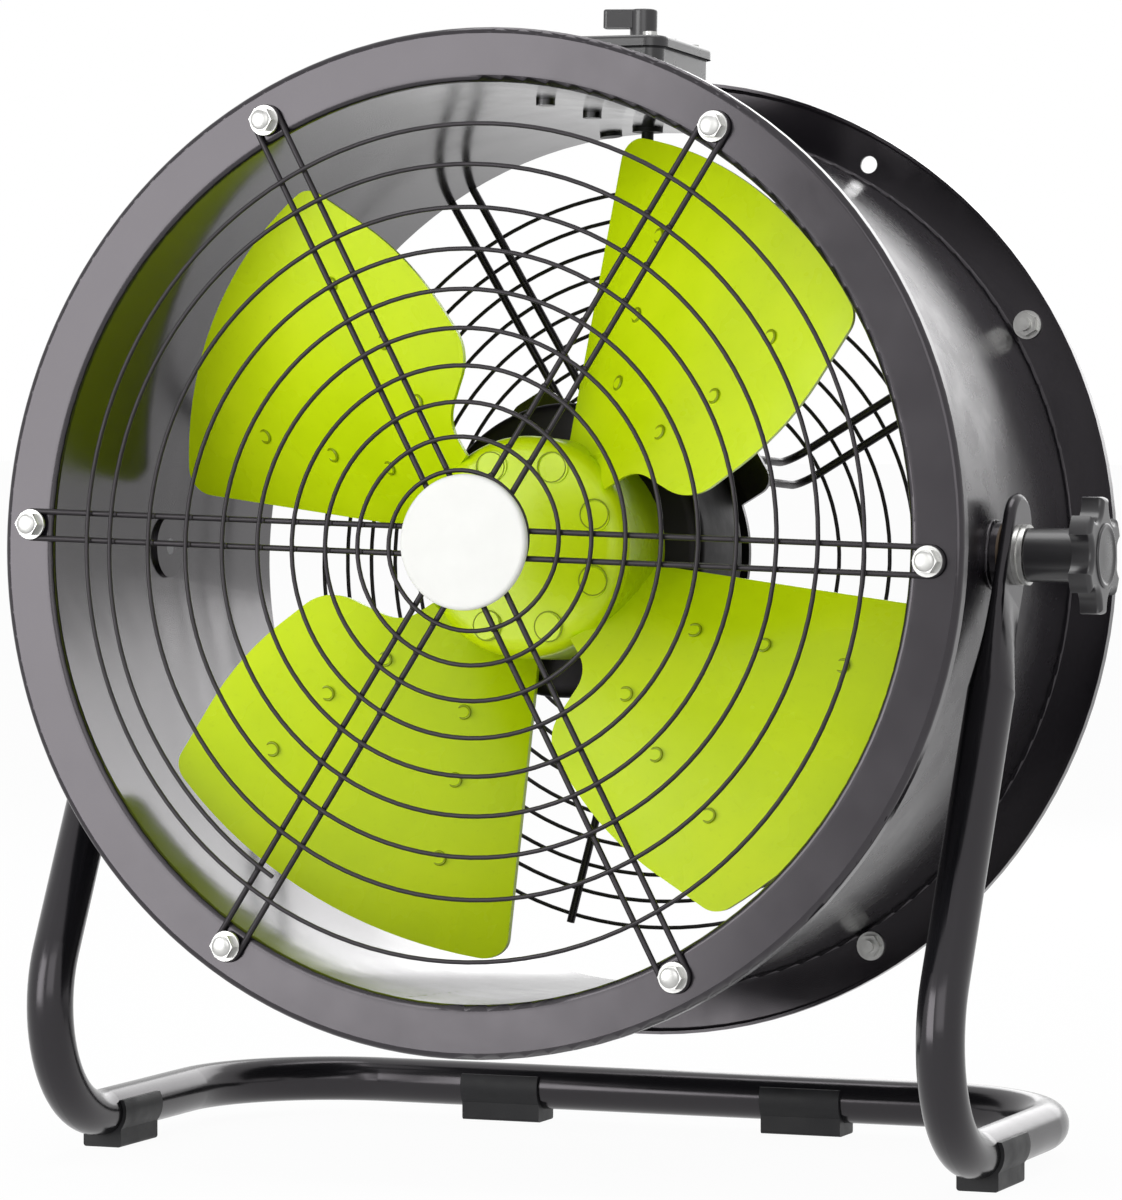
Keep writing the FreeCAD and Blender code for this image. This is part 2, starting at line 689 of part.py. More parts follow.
def impeller_hub():
    """Moulded cup, closed at the front, with a ring of screw bosses that show as low discs on its face."""
    wall = HUB_R - HUB_WALL
    back = HUB_FRONT_Y + HUB_WALL
    cup = spin([
        (0, HUB_FRONT_Y, 0),
        (HUB_R, HUB_FRONT_Y, HUB_ROUND),
        (HUB_R, SEAT_Y, 0),
        (wall, SEAT_Y, 0),
        (wall, back, HUB_ROUND - HUB_WALL),
        (0, back, 0),
    ])
    circle = HUB_SCREW_CIRCLE / 2
    proud = HUB_FRONT_Y - HUB_BOSS_PROUD
    bosses = around(cylinder_y(HUB_BOSS / 2, proud, SEAT_Y, circle), HUB_SCREWS, HUB_SCREW_ANGLE)
    holes = around(cylinder_y(HUB_SCREW / 2 + SLIP, SEAT_Y - HUB_SCREW_DEPTH, SEAT_Y, circle), HUB_SCREWS, HUB_SCREW_ANGLE)
    return cup.fuse(bosses).removeSplitter().cut(holes)


def hub_screws():
    """Screws from inside the rotor can, forward into the hub's bosses."""
    seat = SEAT_Y + CAN_FACE
    tip = SEAT_Y - HUB_SCREW_DEPTH + FACE_PLAY
    screw = screw_y(HUB_SCREW, HUB_SCREW * 1.7, HUB_SCREW_HEAD, seat, tip, HUB_SCREW_CIRCLE / 2)
    return Part.makeCompound(around(screw, HUB_SCREWS, HUB_SCREW_ANGLE))


def leg_down(side):
    """Direction down the raked leg."""
    rake = math.radians(LEG_RAKE)
    return V(0, -math.sin(rake), -math.cos(rake))


def pivot(side):
    return V(side * LEG_X, 0, PIVOT_Z)


def leg_edges(side):
    """Round part of one leg, its bend and floor run, from the flattened end to the rear corner."""
    rake = math.radians(LEG_RAKE)
    down = leg_down(side)
    start = pivot(side) + down * (FLAT_LENGTH + FLAT_BLEND)
    drop = PIVOT_RISE - LEG_BEND * (1 + math.sin(rake))
    bend_start = pivot(side) + down * (drop / math.cos(rake))
    centre = bend_start + V(0, math.cos(rake), -math.sin(rake)) * LEG_BEND
    out = V(0, -math.cos(rake), math.sin(rake) - 1).normalize()
    bend_end = V(side * LEG_X, centre.y, RUN_Z)
    corner = V(side * LEG_X, REAR_REACH - CORNER_BEND, RUN_Z)
    round_centre = V(side * (LEG_X - CORNER_BEND), REAR_REACH - CORNER_BEND, RUN_Z)
    halfway = round_centre + V(side, 1, 0).normalize() * CORNER_BEND
    bar = V(side * (LEG_X - CORNER_BEND), REAR_REACH, RUN_Z)
    return [
        (start, None, bend_start),
        (bend_start, centre + out * LEG_BEND, bend_end),
        (bend_end, None, corner),
        (corner, halfway, bar),
    ]


def stand_path():
    runs = leg_edges(1)
    back = leg_edges(-1)
    runs.append((runs[-1][2], None, back[-1][2]))
    runs += [(end, middle, start) for start, middle, end in reversed(back)]
    return [line(a, b) if m is None else arc(a, m, b) for a, m, b in runs]


def flat_section(centre, across, half_width, half_thick):
    """Stadium-shaped section: two flats joined by round edges."""
    reach = half_width - half_thick
    x = AXIS_X * half_thick
    a = centre + across * reach + x
    b = centre - across * reach + x
    c = centre - across * reach - x
    d = centre + across * reach - x
    return Part.Wire([
        line(a, b),
        arc(b, centre - across * half_width, c),
        line(c, d),
        arc(d, centre + across * half_width, a),
    ])


def round_section(centre, across, radius):
    """Circle in four arcs that match the edges of a flat section."""
    wide = math.radians(60)
    x = AXIS_X * (radius * math.cos(wide))
    reach = across * (radius * math.sin(wide))
    a = centre + reach + x
    b = centre - reach + x
    c = centre - reach - x
    d = centre + reach - x
    return Part.Wire([
        arc(a, centre + AXIS_X * radius, b),
        arc(b, centre - across * radius, c),
        arc(c, centre - AXIS_X * radius, d),
        arc(d, centre + across * radius, a),
    ])


def stand_tube():
    path = stand_path()
    tube = rod(path, TUBE_R).cut(rod(path, TUBE_R - TUBE_WALL))
    ends = []
    for side in SIDES.values():
        down = leg_down(side)
        across = down.cross(AXIS_X)
        half_width = FLAT_WIDTH / 2
        half_thick = FLAT_THICK / 2
        top = pivot(side) - down * (FLAT_TAIL - half_width)
        neck = pivot(side) + down * FLAT_LENGTH
        full = pivot(side) + down * (FLAT_LENGTH + FLAT_BLEND)
        section = flat_section(top, across, half_width, half_thick)
        strap = Part.Face(section).extrude(neck - top)
        cap_edge = Part.makeTorus(half_width - half_thick, half_thick, top, AXIS_X)
        cap = Part.makeCylinder(half_width - half_thick, FLAT_THICK, top - AXIS_X * half_thick, AXIS_X)
        sections = [flat_section(neck, across, half_width, half_thick), round_section(full, across, TUBE_R)]
        ends += [strap, cap, cap_edge, Part.makeLoft(sections, True, True)]
    stand = tube.fuse(ends).removeSplitter()
    hole = cylinder_x(STUD / 2 + HOLE_PLAY, -RIM_R, RIM_R, 0, PIVOT_Z)
    return stand.cut(hole)


def foot_bar():
    """Rubber clip along X: a thin sleeve round the lower side of the tube, on a flat tread."""
    outer = TUBE_R + FOOT_WALL
    tread = FOOT_TREAD / 2
    pad = rounded_face([
        (-tread, RUN_Z, 0),
        (-tread, 0, FOOT_EDGE),
        (tread, 0, FOOT_EDGE),
        (tread, RUN_Z, 0),
    ], lambda p: V(0, p.x, p.y)).extrude(V(FOOT_LENGTH, 0, 0))
    sleeve = cylinder_x(outer, 0, FOOT_LENGTH, 0, RUN_Z)
    mouth = Part.makeBox(FOOT_LENGTH, 2 * outer, outer, V(0, -outer, RUN_Z + FOOT_GRIP))
    seat = cylinder_x(TUBE_R + SLIP, 0, FOOT_LENGTH, 0, RUN_Z)
    bar = sleeve.fuse(pad).removeSplitter().cut([mouth, seat])
    bar.translate(V(-FOOT_LENGTH / 2, 0, 0))
    return bar


def foot_rear(side):
    foot = foot_bar()
    foot.translate(V(side * REAR_FOOT_X, REAR_REACH, 0))
    return foot


def foot_front(side):
    bend_end = leg_edges(side)[2][0]
    foot = foot_bar()
    foot.rotate(ORIGIN, AXIS_Z, 90)
    foot.translate(V(bend_end.x, bend_end.y + FOOT_LENGTH / 2, 0))
    return foot


def clamp_disc(radius, start, thick, side):
    disc = cylinder_x(radius, start, start + thick).cut(cylinder_x(STUD / 2 + HOLE_PLAY, start, start + thick))
    return mirrored(disc, side)


def clamp_washer(side):
    """Thick washer under the knob, with a turned groove round its rim."""
    groove = CLAMP_WASHER_GROOVE
    start = WASHER_X + (CLAMP_WASHER_THICK - groove) / 2
    ring = cylinder_x(CLAMP_WASHER / 2, start, start + groove)
    ring = ring.cut(cylinder_x(CLAMP_WASHER / 2 - groove, start, start + groove))
    return clamp_disc(CLAMP_WASHER / 2, WASHER_X, CLAMP_WASHER_THICK, side).cut(mirrored(ring, side))


def clamp_knob(side):
    """Neck and lobed head; the lobes are what a ring of scallops leaves of a disc."""
    start = KNOB_X + FACE_PLAY
    head = start + KNOB_NECK_LENGTH
    end = head + KNOB_HEAD_THICK
    disc = cylinder_x(KNOB_HEAD / 2, head, end)
    reach = KNOB_HEAD / 2 + KNOB_SCALLOP * 0.1
    scallops = []
    for i in range(KNOB_LOBES):
        angle = math.radians(FULL_TURN * (i + 0.5) / KNOB_LOBES)
        scallops.append(cylinder_x(KNOB_SCALLOP / 2, head, end, reach * math.sin(angle), reach * math.cos(angle)))
    disc = disc.cut(scallops)
    rim = [edge for edge in disc.Edges if abs(edge.CenterOfMass.x - end) < 0.01]
    disc = disc.makeFillet(KNOB_ROUND, rim)
    knob = disc.fuse(cylinder_x(KNOB_NECK / 2, start, head)).removeSplitter()
    knob = knob.cut(cylinder_x(STUD / 2, start, head))
    return mirrored(knob, side)


def clamp_stud(side):
    """Threaded stud, moulded into the knob and screwed into the boss."""
    inner = BORE_R - BOSS_INSIDE
    stud = cylinder_x(STUD / 2, inner, KNOB_X + FACE_PLAY + KNOB_NECK_LENGTH)
    return mirrored(stud, side)


def upright_box(width, length, z0, z1, corner):
    """A block on the drum's top, centred on the switch box, with rounded upright corners."""
    half_w = width / 2
    half_l = length / 2
    face = rounded_face([
        (-half_w, -half_l, corner),
        (half_w, -half_l, corner),
        (half_w, half_l, corner),
        (-half_w, half_l, corner),
    ], lambda p: V(p.x, BOX_Y + p.y, z0))
    return face.extrude(V(0, 0, z1 - z0))


def lid_screw_places():
    x = BOX_WIDTH / 2 - LID_SCREW_INSET
    y = BOX_LENGTH / 2 - LID_SCREW_INSET
    return [(sx * x, BOX_Y + sy * y) for sx in (-1, 1) for sy in (-1, 1)]


def switch_box():
    """Open-topped box saddled on the drum, with a post in each corner for the lid's screws."""
    length = HALF_DEPTH
    box = upright_box(BOX_WIDTH, BOX_LENGTH, 0, BOX_TOP, BOX_CORNER)
    inside = upright_box(BOX_WIDTH - 2 * BOX_WALL, BOX_LENGTH - 2 * BOX_WALL, 0, BOX_TOP, BOX_CORNER - BOX_WALL)
    inside = inside.cut(cylinder_y(SHELL_R + BOX_WALL, -length, length))
    box = box.cut(cylinder_y(SHELL_R, -length, length)).cut(inside)
    posts = [cylinder_z(POST / 2, BORE_R, BOX_TOP, x, y) for x, y in lid_screw_places()]
    posts = [post.cut(cylinder_y(SHELL_R + BOX_WALL / 2, -length, length)) for post in posts]
    box = box.fuse(posts).removeSplitter()
    drop = LID_SCREW_LENGTH
    cuts = [cylinder_z(LID_SCREW / 2 + SLIP, BOX_TOP - drop, BOX_TOP, x, y) for x, y in lid_screw_places()]
    for end in (-1, 1):
        cuts.append(cylinder_z(BOX_SCREW / 2 + SLIP, 0, BOX_TOP, 0, BOX_Y + end * BOX_SCREW_SPACING / 2))
    for x in (GLAND_X, CABLE_X):
        cuts.append(cylinder_y(GLAND_THREAD / 2 + SLIP, BOX_BACK - BOX_WALL, BOX_BACK, x, GLAND_Z))
    return box.cut(cuts)


def box_gasket():
    """Frame of rubber under the lid's edge, widened round the screws."""
    outer = upright_box(BOX_WIDTH, BOX_LENGTH, BOX_TOP, LID_Z, BOX_CORNER)
    inner = upright_box(BOX_WIDTH - 2 * BOX_WALL, BOX_LENGTH - 2 * BOX_WALL, BOX_TOP, LID_Z, BOX_CORNER - BOX_WALL)
    pads = [cylinder_z(POST / 2, BOX_TOP, LID_Z, x, y) for x, y in lid_screw_places()]
    frame = outer.cut(inner).fuse(pads).removeSplitter()
    return frame.cut([cylinder_z(LID_SCREW / 2 + SLIP, BOX_TOP, LID_Z, x, y) for x, y in lid_screw_places()])


def box_lid():
    lid = upright_box(BOX_WIDTH + 2 * LID_LAP, BOX_LENGTH + 2 * LID_LAP, LID_Z, LID_TOP, BOX_CORNER + LID_LAP)
    rim = [edge for edge in lid.Edges if abs(edge.CenterOfMass.z - LID_TOP) < 0.01]
    lid = lid.makeFillet(LID_ROUND, rim)
    holes = [cylinder_z(LID_SCREW / 2 + SLIP, LID_Z, LID_TOP, x, y) for x, y in lid_screw_places()]
    holes.append(cylinder_z(SPINDLE / 2 + FACE_PLAY, LID_Z, LID_TOP, SWITCH_X, BOX_Y))
    return lid.cut(holes)


def lid_screws():
    screws = []
    for x, y in lid_screw_places():
        head = cylinder_z(LID_SCREW_HEAD / 2, LID_TOP, LID_TOP + LID_SCREW * 0.6, x, y)
        shank = cylinder_z(LID_SCREW / 2, BOX_TOP - LID_SCREW_LENGTH, LID_TOP, x, y)
        screws.append(head.fuse(shank).removeSplitter())
    return Part.makeCompound(screws)


def box_screws():
    """Screws from inside the duct, up through the drum wall into the box's floor."""
    screws = []
    for end in (-1, 1):
        y = BOX_Y + end * BOX_SCREW_SPACING / 2
        head = cylinder_z(BOX_SCREW_HEAD / 2, BORE_R - BOX_SCREW_HEAD_THICK, BORE_R, 0, y)
        shank = cylinder_z(BOX_SCREW / 2, BORE_R, SHELL_R + BOX_WALL, 0, y)
        screws.append(head.cut(tube_wall()).fuse(shank).removeSplitter())
    return Part.makeCompound(screws)


def tube_wall():
    """The drum's wall alone, for trimming what seats inside it."""
    return ring_y(RIM_R, BORE_R, -HALF_DEPTH, HALF_DEPTH)


def rotary_switch():
    body = cylinder_z(SWITCH / 2, LID_Z - SWITCH_DEPTH, LID_Z, SWITCH_X, BOX_Y)
    return body.cut(cylinder_z(SPINDLE / 2 + RUN, LID_Z - SPINDLE_SEAT, LID_Z, SWITCH_X, BOX_Y))


def switch_spindle():
    return cylinder_z(SPINDLE / 2, LID_Z - SPINDLE_SEAT + FACE_PLAY, LID_TOP + SPINDLE_REACH, SWITCH_X, BOX_Y)


def speed_knob():
    """Round stem with a pointer arm at its top."""
    base = LID_TOP + FACE_PLAY
    top = base + KNOB_HEIGHT
    radius = KNOB_STEM / 2
    half = POINTER_WIDTH / 2
    stem = cylinder_z(radius, base, top)
    arm = Part.makeBox(POINTER_REACH, POINTER_WIDTH, POINTER_HEIGHT, V(0, -half, top - POINTER_HEIGHT))
    nose = [edge for edge in arm.Edges if abs(edge.CenterOfMass.x - POINTER_REACH) < 0.01 and abs(edge.CenterOfMass.y) > 0.01]
    arm = arm.makeFillet(half * 0.5, [edge for edge in nose if abs(edge.CenterOfMass.z - top + POINTER_HEIGHT / 2) < 0.01])
    knob = stem.fuse(arm).removeSplitter()
    knob = knob.makeFillet(1.0, [edge for edge in knob.Edges if abs(edge.CenterOfMass.z - top) < 0.01])
    knob = knob.cut(cylinder_z(SPINDLE / 2, base, LID_TOP + SPINDLE_REACH))
    knob.rotate(ORIGIN, AXIS_Z, POINTER_ANGLE)
    knob.translate(V(SWITCH_X, BOX_Y, 0))
    return knob


def floor_block(size, x):
    """A block standing on the box's curved floor, with its underside shaped to it."""
    width, length, height = size
    floor = SHELL_R + BOX_WALL
    block = Part.makeBox(width, length, height + BOX_RISE, V(x - width / 2, BOX_Y - length / 2, floor - BOX_RISE))
    return block.cut(cylinder_y(floor, -HALF_DEPTH, HALF_DEPTH))


def cable_glands():
    """Glands on the box's back wall, one for the mains lead and one for the motor cable."""
    glands = []
    for x in (GLAND_X, CABLE_X):
        nut_end = BOX_BACK + GLAND_HEX_THICK
        tip = nut_end + GLAND_DOME_LENGTH
        thread = cylinder_y(GLAND_THREAD / 2, BOX_BACK - 2 * BOX_WALL, BOX_BACK, x, GLAND_Z)
        nut = hex_y(GLAND_HEX, BOX_BACK, nut_end, x, GLAND_Z)
        dome = cylinder_y(GLAND_DOME / 2, nut_end, tip, x, GLAND_Z)
        dome = dome.makeFillet(GLAND_DOME * 0.2, [edge for edge in dome.Edges if abs(edge.CenterOfMass.y - tip) < 0.01])
        gland = thread.fuse([nut, dome]).removeSplitter()
        glands.append(gland.cut(cylinder_y(CABLE / 2 + SLIP, BOX_BACK - 2 * BOX_WALL, tip, x, GLAND_Z)))
    return Part.makeCompound(glands)


def cable_points():
    entry = polar(BASE_SCREW_CIRCLE / 2, CABLE_HOLE_ANGLE + PATTERN_TURN)
    slant = math.tan(math.radians(CABLE_SLANT))
    low = BORE_R - CABLE_DROP
    return [
        V(CABLE_X, BOX_BACK - 2 * BOX_WALL, GLAND_Z),
        V(CABLE_X, CABLE_Y, GLAND_Z),
        V(CABLE_X, CABLE_Y, low),
        V(entry.x, CABLE_Y, low - (entry.x - CABLE_X) * slant),
        V(entry.x, CABLE_Y, entry.z),
        V(entry.x, PLATE_Y, entry.z),
    ]


def motor_cable():
    """Lead from the box to the back of the motor, in straight runs with wide bends."""
    points = cable_points()
    edges = []
    at = points[0]
    for before, here, after in zip(points, points[1:], points[2:]):
        back = before - here
        ahead = after - here
        half = back.getAngle(ahead) / 2
        bend = CABLE_SWEEP if here in (points[3], points[4]) else CABLE_BEND
        reach = bend / math.tan(half)
        back.normalize()
        ahead.normalize()
        start = here + back * reach
        end = here + ahead * reach
        inward = (back + ahead).normalize()
        middle = here + inward * (bend / math.sin(half) - bend)
        edges += [line(at, start), arc(start, middle, end)]
        at = end
    edges.append(line(at, points[-1]))
    print("motor cable: least bend radius %.1f mm" % CABLE_BEND)
    return rod(edges, CABLE / 2)


def cable_grommet():
    """Rubber ring in the drum wall round the cable, with a collar inside the duct."""
    hole = CABLE / 2 + GROMMET_THICK
    ring = cylinder_z(hole, BORE_R - GROMMET_THICK, SHELL_R, CABLE_X, CABLE_Y)
    collar = cylinder_z(GROMMET_COLLAR / 2, BORE_R - GROMMET_THICK, BORE_R + SHEET, CABLE_X, CABLE_Y).cut(tube_wall())
    under = ring.fuse(collar).removeSplitter().common(cylinder_y(SHELL_R, -HALF_DEPTH, HALF_DEPTH))
    return under.cut(cylinder_z(CABLE / 2 + SLIP, 0, RIM_R, CABLE_X, CABLE_Y))


def blanking_plug():
    """Rubber plug in a spare hole of the drum wall, its collar inside the duct."""
    stem = cylinder_z(PLUG / 2, BORE_R - PLUG_THICK, SHELL_R, 0, PLUG_Y)
    collar = cylinder_z(PLUG_COLLAR / 2, BORE_R - PLUG_THICK, SHELL_R, 0, PLUG_Y).cut(tube_wall())
    plug = stem.fuse(collar).removeSplitter().common(cylinder_y(SHELL_R, -HALF_DEPTH, HALF_DEPTH))
    return turned(plug, PLUG_ANGLE - 90)


def head_pieces():
    """Everything drawn in the drum's frame, by node name."""
    pieces = {
        "drum_shell": drum_shell(),
        "front_guard": front_guard(),
        "guard_disc": guard_disc(),
        "front_guard_bolts": front_bolts(),
        "front_guard_nuts": front_nuts(),
        "rear_guard": rear_guard(),
        "motor_arms": motor_arms(),
        "rear_guard_bolts": rear_bolts(),
        "rear_guard_nuts": rear_nuts(),
        "motor_plate": motor_plate(),
        "motor_base": motor_base(),
        "motor_base_screws": base_screws(),
        "stator_core": stator_core(),
        "stator_windings": stator_windings(),
        "front_bearing": bearing(SLEEVE_Y),
        "rear_bearing": bearing(PLATE_Y - BEARING_WIDTH),
        "rotor_can": rotor_can(),
        "rotor_cage": rotor_cage(),
        "motor_shaft": motor_shaft(),
        "impeller": impeller(),
        "impeller_screws": hub_screws(),
        "switch_box": switch_box(),
        "box_gasket": box_gasket(),
        "box_lid": box_lid(),
        "lid_screws": lid_screws(),
        "box_screws": box_screws(),
        "rotary_switch": rotary_switch(),
        "switch_spindle": switch_spindle(),
        "speed_knob": speed_knob(),
        "run_capacitor": floor_block(CAPACITOR_SIZE, CAPACITOR_X),
        "terminal_block": floor_block(TERMINAL_SIZE, TERMINAL_X),
        "cable_glands": cable_glands(),
        "motor_cable": motor_cable(),
        "cable_grommet": cable_grommet(),
        "blanking_plug": blanking_plug(),
    }
    for name, side in SIDES.items():
        pieces["pivot_boss_" + name] = pivot_boss(side)
        pieces["clamp_knob_" + name] = clamp_knob(side)
        pieces["clamp_stud_" + name] = clamp_stud(side)
    return pieces


def stand_pieces():
    """Everything that stays on the floor, by node name."""
    pieces = {"stand_tube": stand_tube()}
    for name, side in SIDES.items():
        pieces["foot_front_" + name] = foot_front(side)
        pieces["foot_rear_" + name] = foot_rear(side)
        washer = clamp_washer(side)
        pad = clamp_disc(PIVOT_BOSS / 2, BOSS_FACE, FRICTION_PAD, side)
        for node, disc in (("clamp_washer_", washer), ("friction_pad_", pad)):
            disc.translate(V(0, 0, PIVOT_Z))
            pieces[node + name] = disc
    return pieces


def main():
    os.makedirs("parts", exist_ok=True)
    pieces = {name: head_place(shape) for name, shape in head_pieces().items()}
    pieces.update(stand_pieces())
    for name, shape in pieces.items():
        if not shape.isValid():
            print("invalid shape:", name)
        shape.exportStep("parts/" + name + ".step")
    print(len(pieces), "nodes,", sum(len(shape.Solids) for shape in pieces.values()), "solids")


main()
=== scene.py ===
import math

import bmesh
import bpy
from mathutils import Matrix, Vector
from mathutils.bvhtree import BVHTree


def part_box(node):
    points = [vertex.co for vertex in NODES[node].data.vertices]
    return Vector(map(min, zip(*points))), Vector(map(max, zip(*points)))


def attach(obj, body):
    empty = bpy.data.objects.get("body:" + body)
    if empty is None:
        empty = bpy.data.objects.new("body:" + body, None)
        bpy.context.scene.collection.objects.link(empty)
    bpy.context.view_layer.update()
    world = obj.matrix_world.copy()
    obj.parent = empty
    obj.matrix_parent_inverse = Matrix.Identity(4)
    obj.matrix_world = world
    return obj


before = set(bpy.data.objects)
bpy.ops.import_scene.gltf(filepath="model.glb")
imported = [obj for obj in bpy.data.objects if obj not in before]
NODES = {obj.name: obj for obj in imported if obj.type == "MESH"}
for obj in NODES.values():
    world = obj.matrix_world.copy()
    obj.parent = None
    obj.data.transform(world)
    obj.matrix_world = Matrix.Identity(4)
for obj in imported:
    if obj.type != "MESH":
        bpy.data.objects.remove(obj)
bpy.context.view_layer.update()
MM = 0.001
FULL_TURN = 360.0

# The drum's own frame: its axis along Y, its centre at the origin, angles from +X towards +Z from the front.
REST_TILT = math.radians(3.0)
PIVOT = Vector((0.0, 0.0, 0.288))
HEAD = Matrix.Translation(PIVOT) @ Matrix.Rotation(-REST_TILT, 4, "X")
AHEAD = HEAD.to_3x3() @ Vector((0.0, -1.0, 0.0))
BEHIND = HEAD.to_3x3() @ Vector((0.0, 1.0, 0.0))
UPWARD = HEAD.to_3x3() @ Vector((0.0, 0.0, 1.0))

# The black paint's faint purple cast, and where its gloss changes, in metres from the drum's axis.
COAT_TINT = (1.0, 0.94, 1.0, 1.0)
BORE_WALL = 0.2103
BORE_EDGE = 0.0006
FLANGE_INNER = 0.2125
FLANGE_EDGE = 0.002

# Places on the solids, in the drum's frame, in millimetres and degrees.
PATTERN_TURN = -1.7
BOLT_CIRCLE = 220.0
FRONT_SPOKES = 6
FRONT_WIRE_OFFSET = 6.25
ARMS = 4
ARM_ANGLE = 33.0
ARM_WIRE_OFFSET = 6.5
REAR_SPOKES = 4
REAR_SPOKE_ANGLE = 78.0
REAR_RINGS = [92.0 + 13.0 * i for i in range(8)]
ARM_BEND = 95.0
OUTER_RING = 190.5
DISC_COVER = 32.0
FRONT_WELD_Y = -127.7
REAR_WELD_Y = 129.0

# The front coil winds outwards from its inner end, and its pitch opens with every turn.
COIL_START = 23.4
COIL_END = 181.1
COIL_ANGLE = 210.0
COIL_TURNS = 9.0 + 30.0 / FULL_TURN
COIL_OPENING = 0.306
COIL_PITCH = (COIL_END - COIL_START) / COIL_TURNS - COIL_OPENING * COIL_TURNS
COIL_SPACING = 15.0
COIL_ROUNDS = 6

# Marks on the impeller: each blade's as radius and angle behind its leading edge.
BLADES = 4
BLADE_EDGE = 84.0
BLADE_MARKS = ((86.0, 18.0), (86.0, 44.0), (118.0, 14.0), (118.0, 46.0), (156.0, 12.0), (156.0, 44.0))
MARK_SUNK = 0.28
HUB_BOSSES = 8
HUB_BOSS_ANGLE = 22.5
HUB_BOSS_CIRCLE = 40.0
HUB_BOSS_RADIUS = 7.0
CLEAR_OF_IMPELLER = -118.0

# Welds on the drum.
SHELL_OUTSIDE = 211.5
BOSS_WELD = 15.4
BOSS_WELD_PROUD = 0.2
BOSS_WELD_POINTS = 120
SEAM_ANGLE = 262.0
SEAM_FRONT = -119.0
SEAM_LENGTH = 238.0
SEAM_SUNK = 0.3
SEAM_POINTS = 200

# The switch box, its dial and its two glands.
BOX_MIDDLE = -9.5
LID_TOP = 239.0
LID_SCREW_X = 51.0
LID_SCREW_Y = 28.5
DIAL_X = 37.0
DIAL_START = 190.0
DIAL_STEP = 45.0
SPEEDS = 4
POINTER_TOP = 16.0
MARK_HEIGHT = 0.25
GLAND_PLACES = (-30.16, 0.0)
GLAND_Y = 37.0
GLAND_Z = 223.8
GLAND_RIBS = 14
GLAND_RIB_CIRCLE = 7.4

# Half the section of a clamp knob's cap, as radius and height above the knob's face.
CAP_SECTION = (
    (0.0, -0.6), (15.0, -0.6), (15.0, 0.5), (14.4, 0.9), (13.4, 0.9),
    (12.8, 0.3), (11.6, 0.25), (6.0, 0.7), (0.0, 0.85),
)


def polar(radius, degrees, y):
    """A point in the drum's frame, in metres, from millimetres and degrees."""
    angle = math.radians(degrees)
    return Vector((radius * math.cos(angle), y, radius * math.sin(angle))) * MM


def add(tree, kind, inputs=None, **settings):
    """A new node in a tree, with its settings and the values of its unlinked inputs."""
    made = tree.nodes.new(kind)
    for key, value in settings.items():
        setattr(made, key, value)
    for socket, value in (inputs or {}).items():
        made.inputs[socket].default_value = value
    return made


# A Mix node's colour sockets share their names with its number sockets, so they go by their places.
MIX_SHARE, MIX_UNDER, MIX_OVER, MIX_RESULT = 0, 6, 7, 2


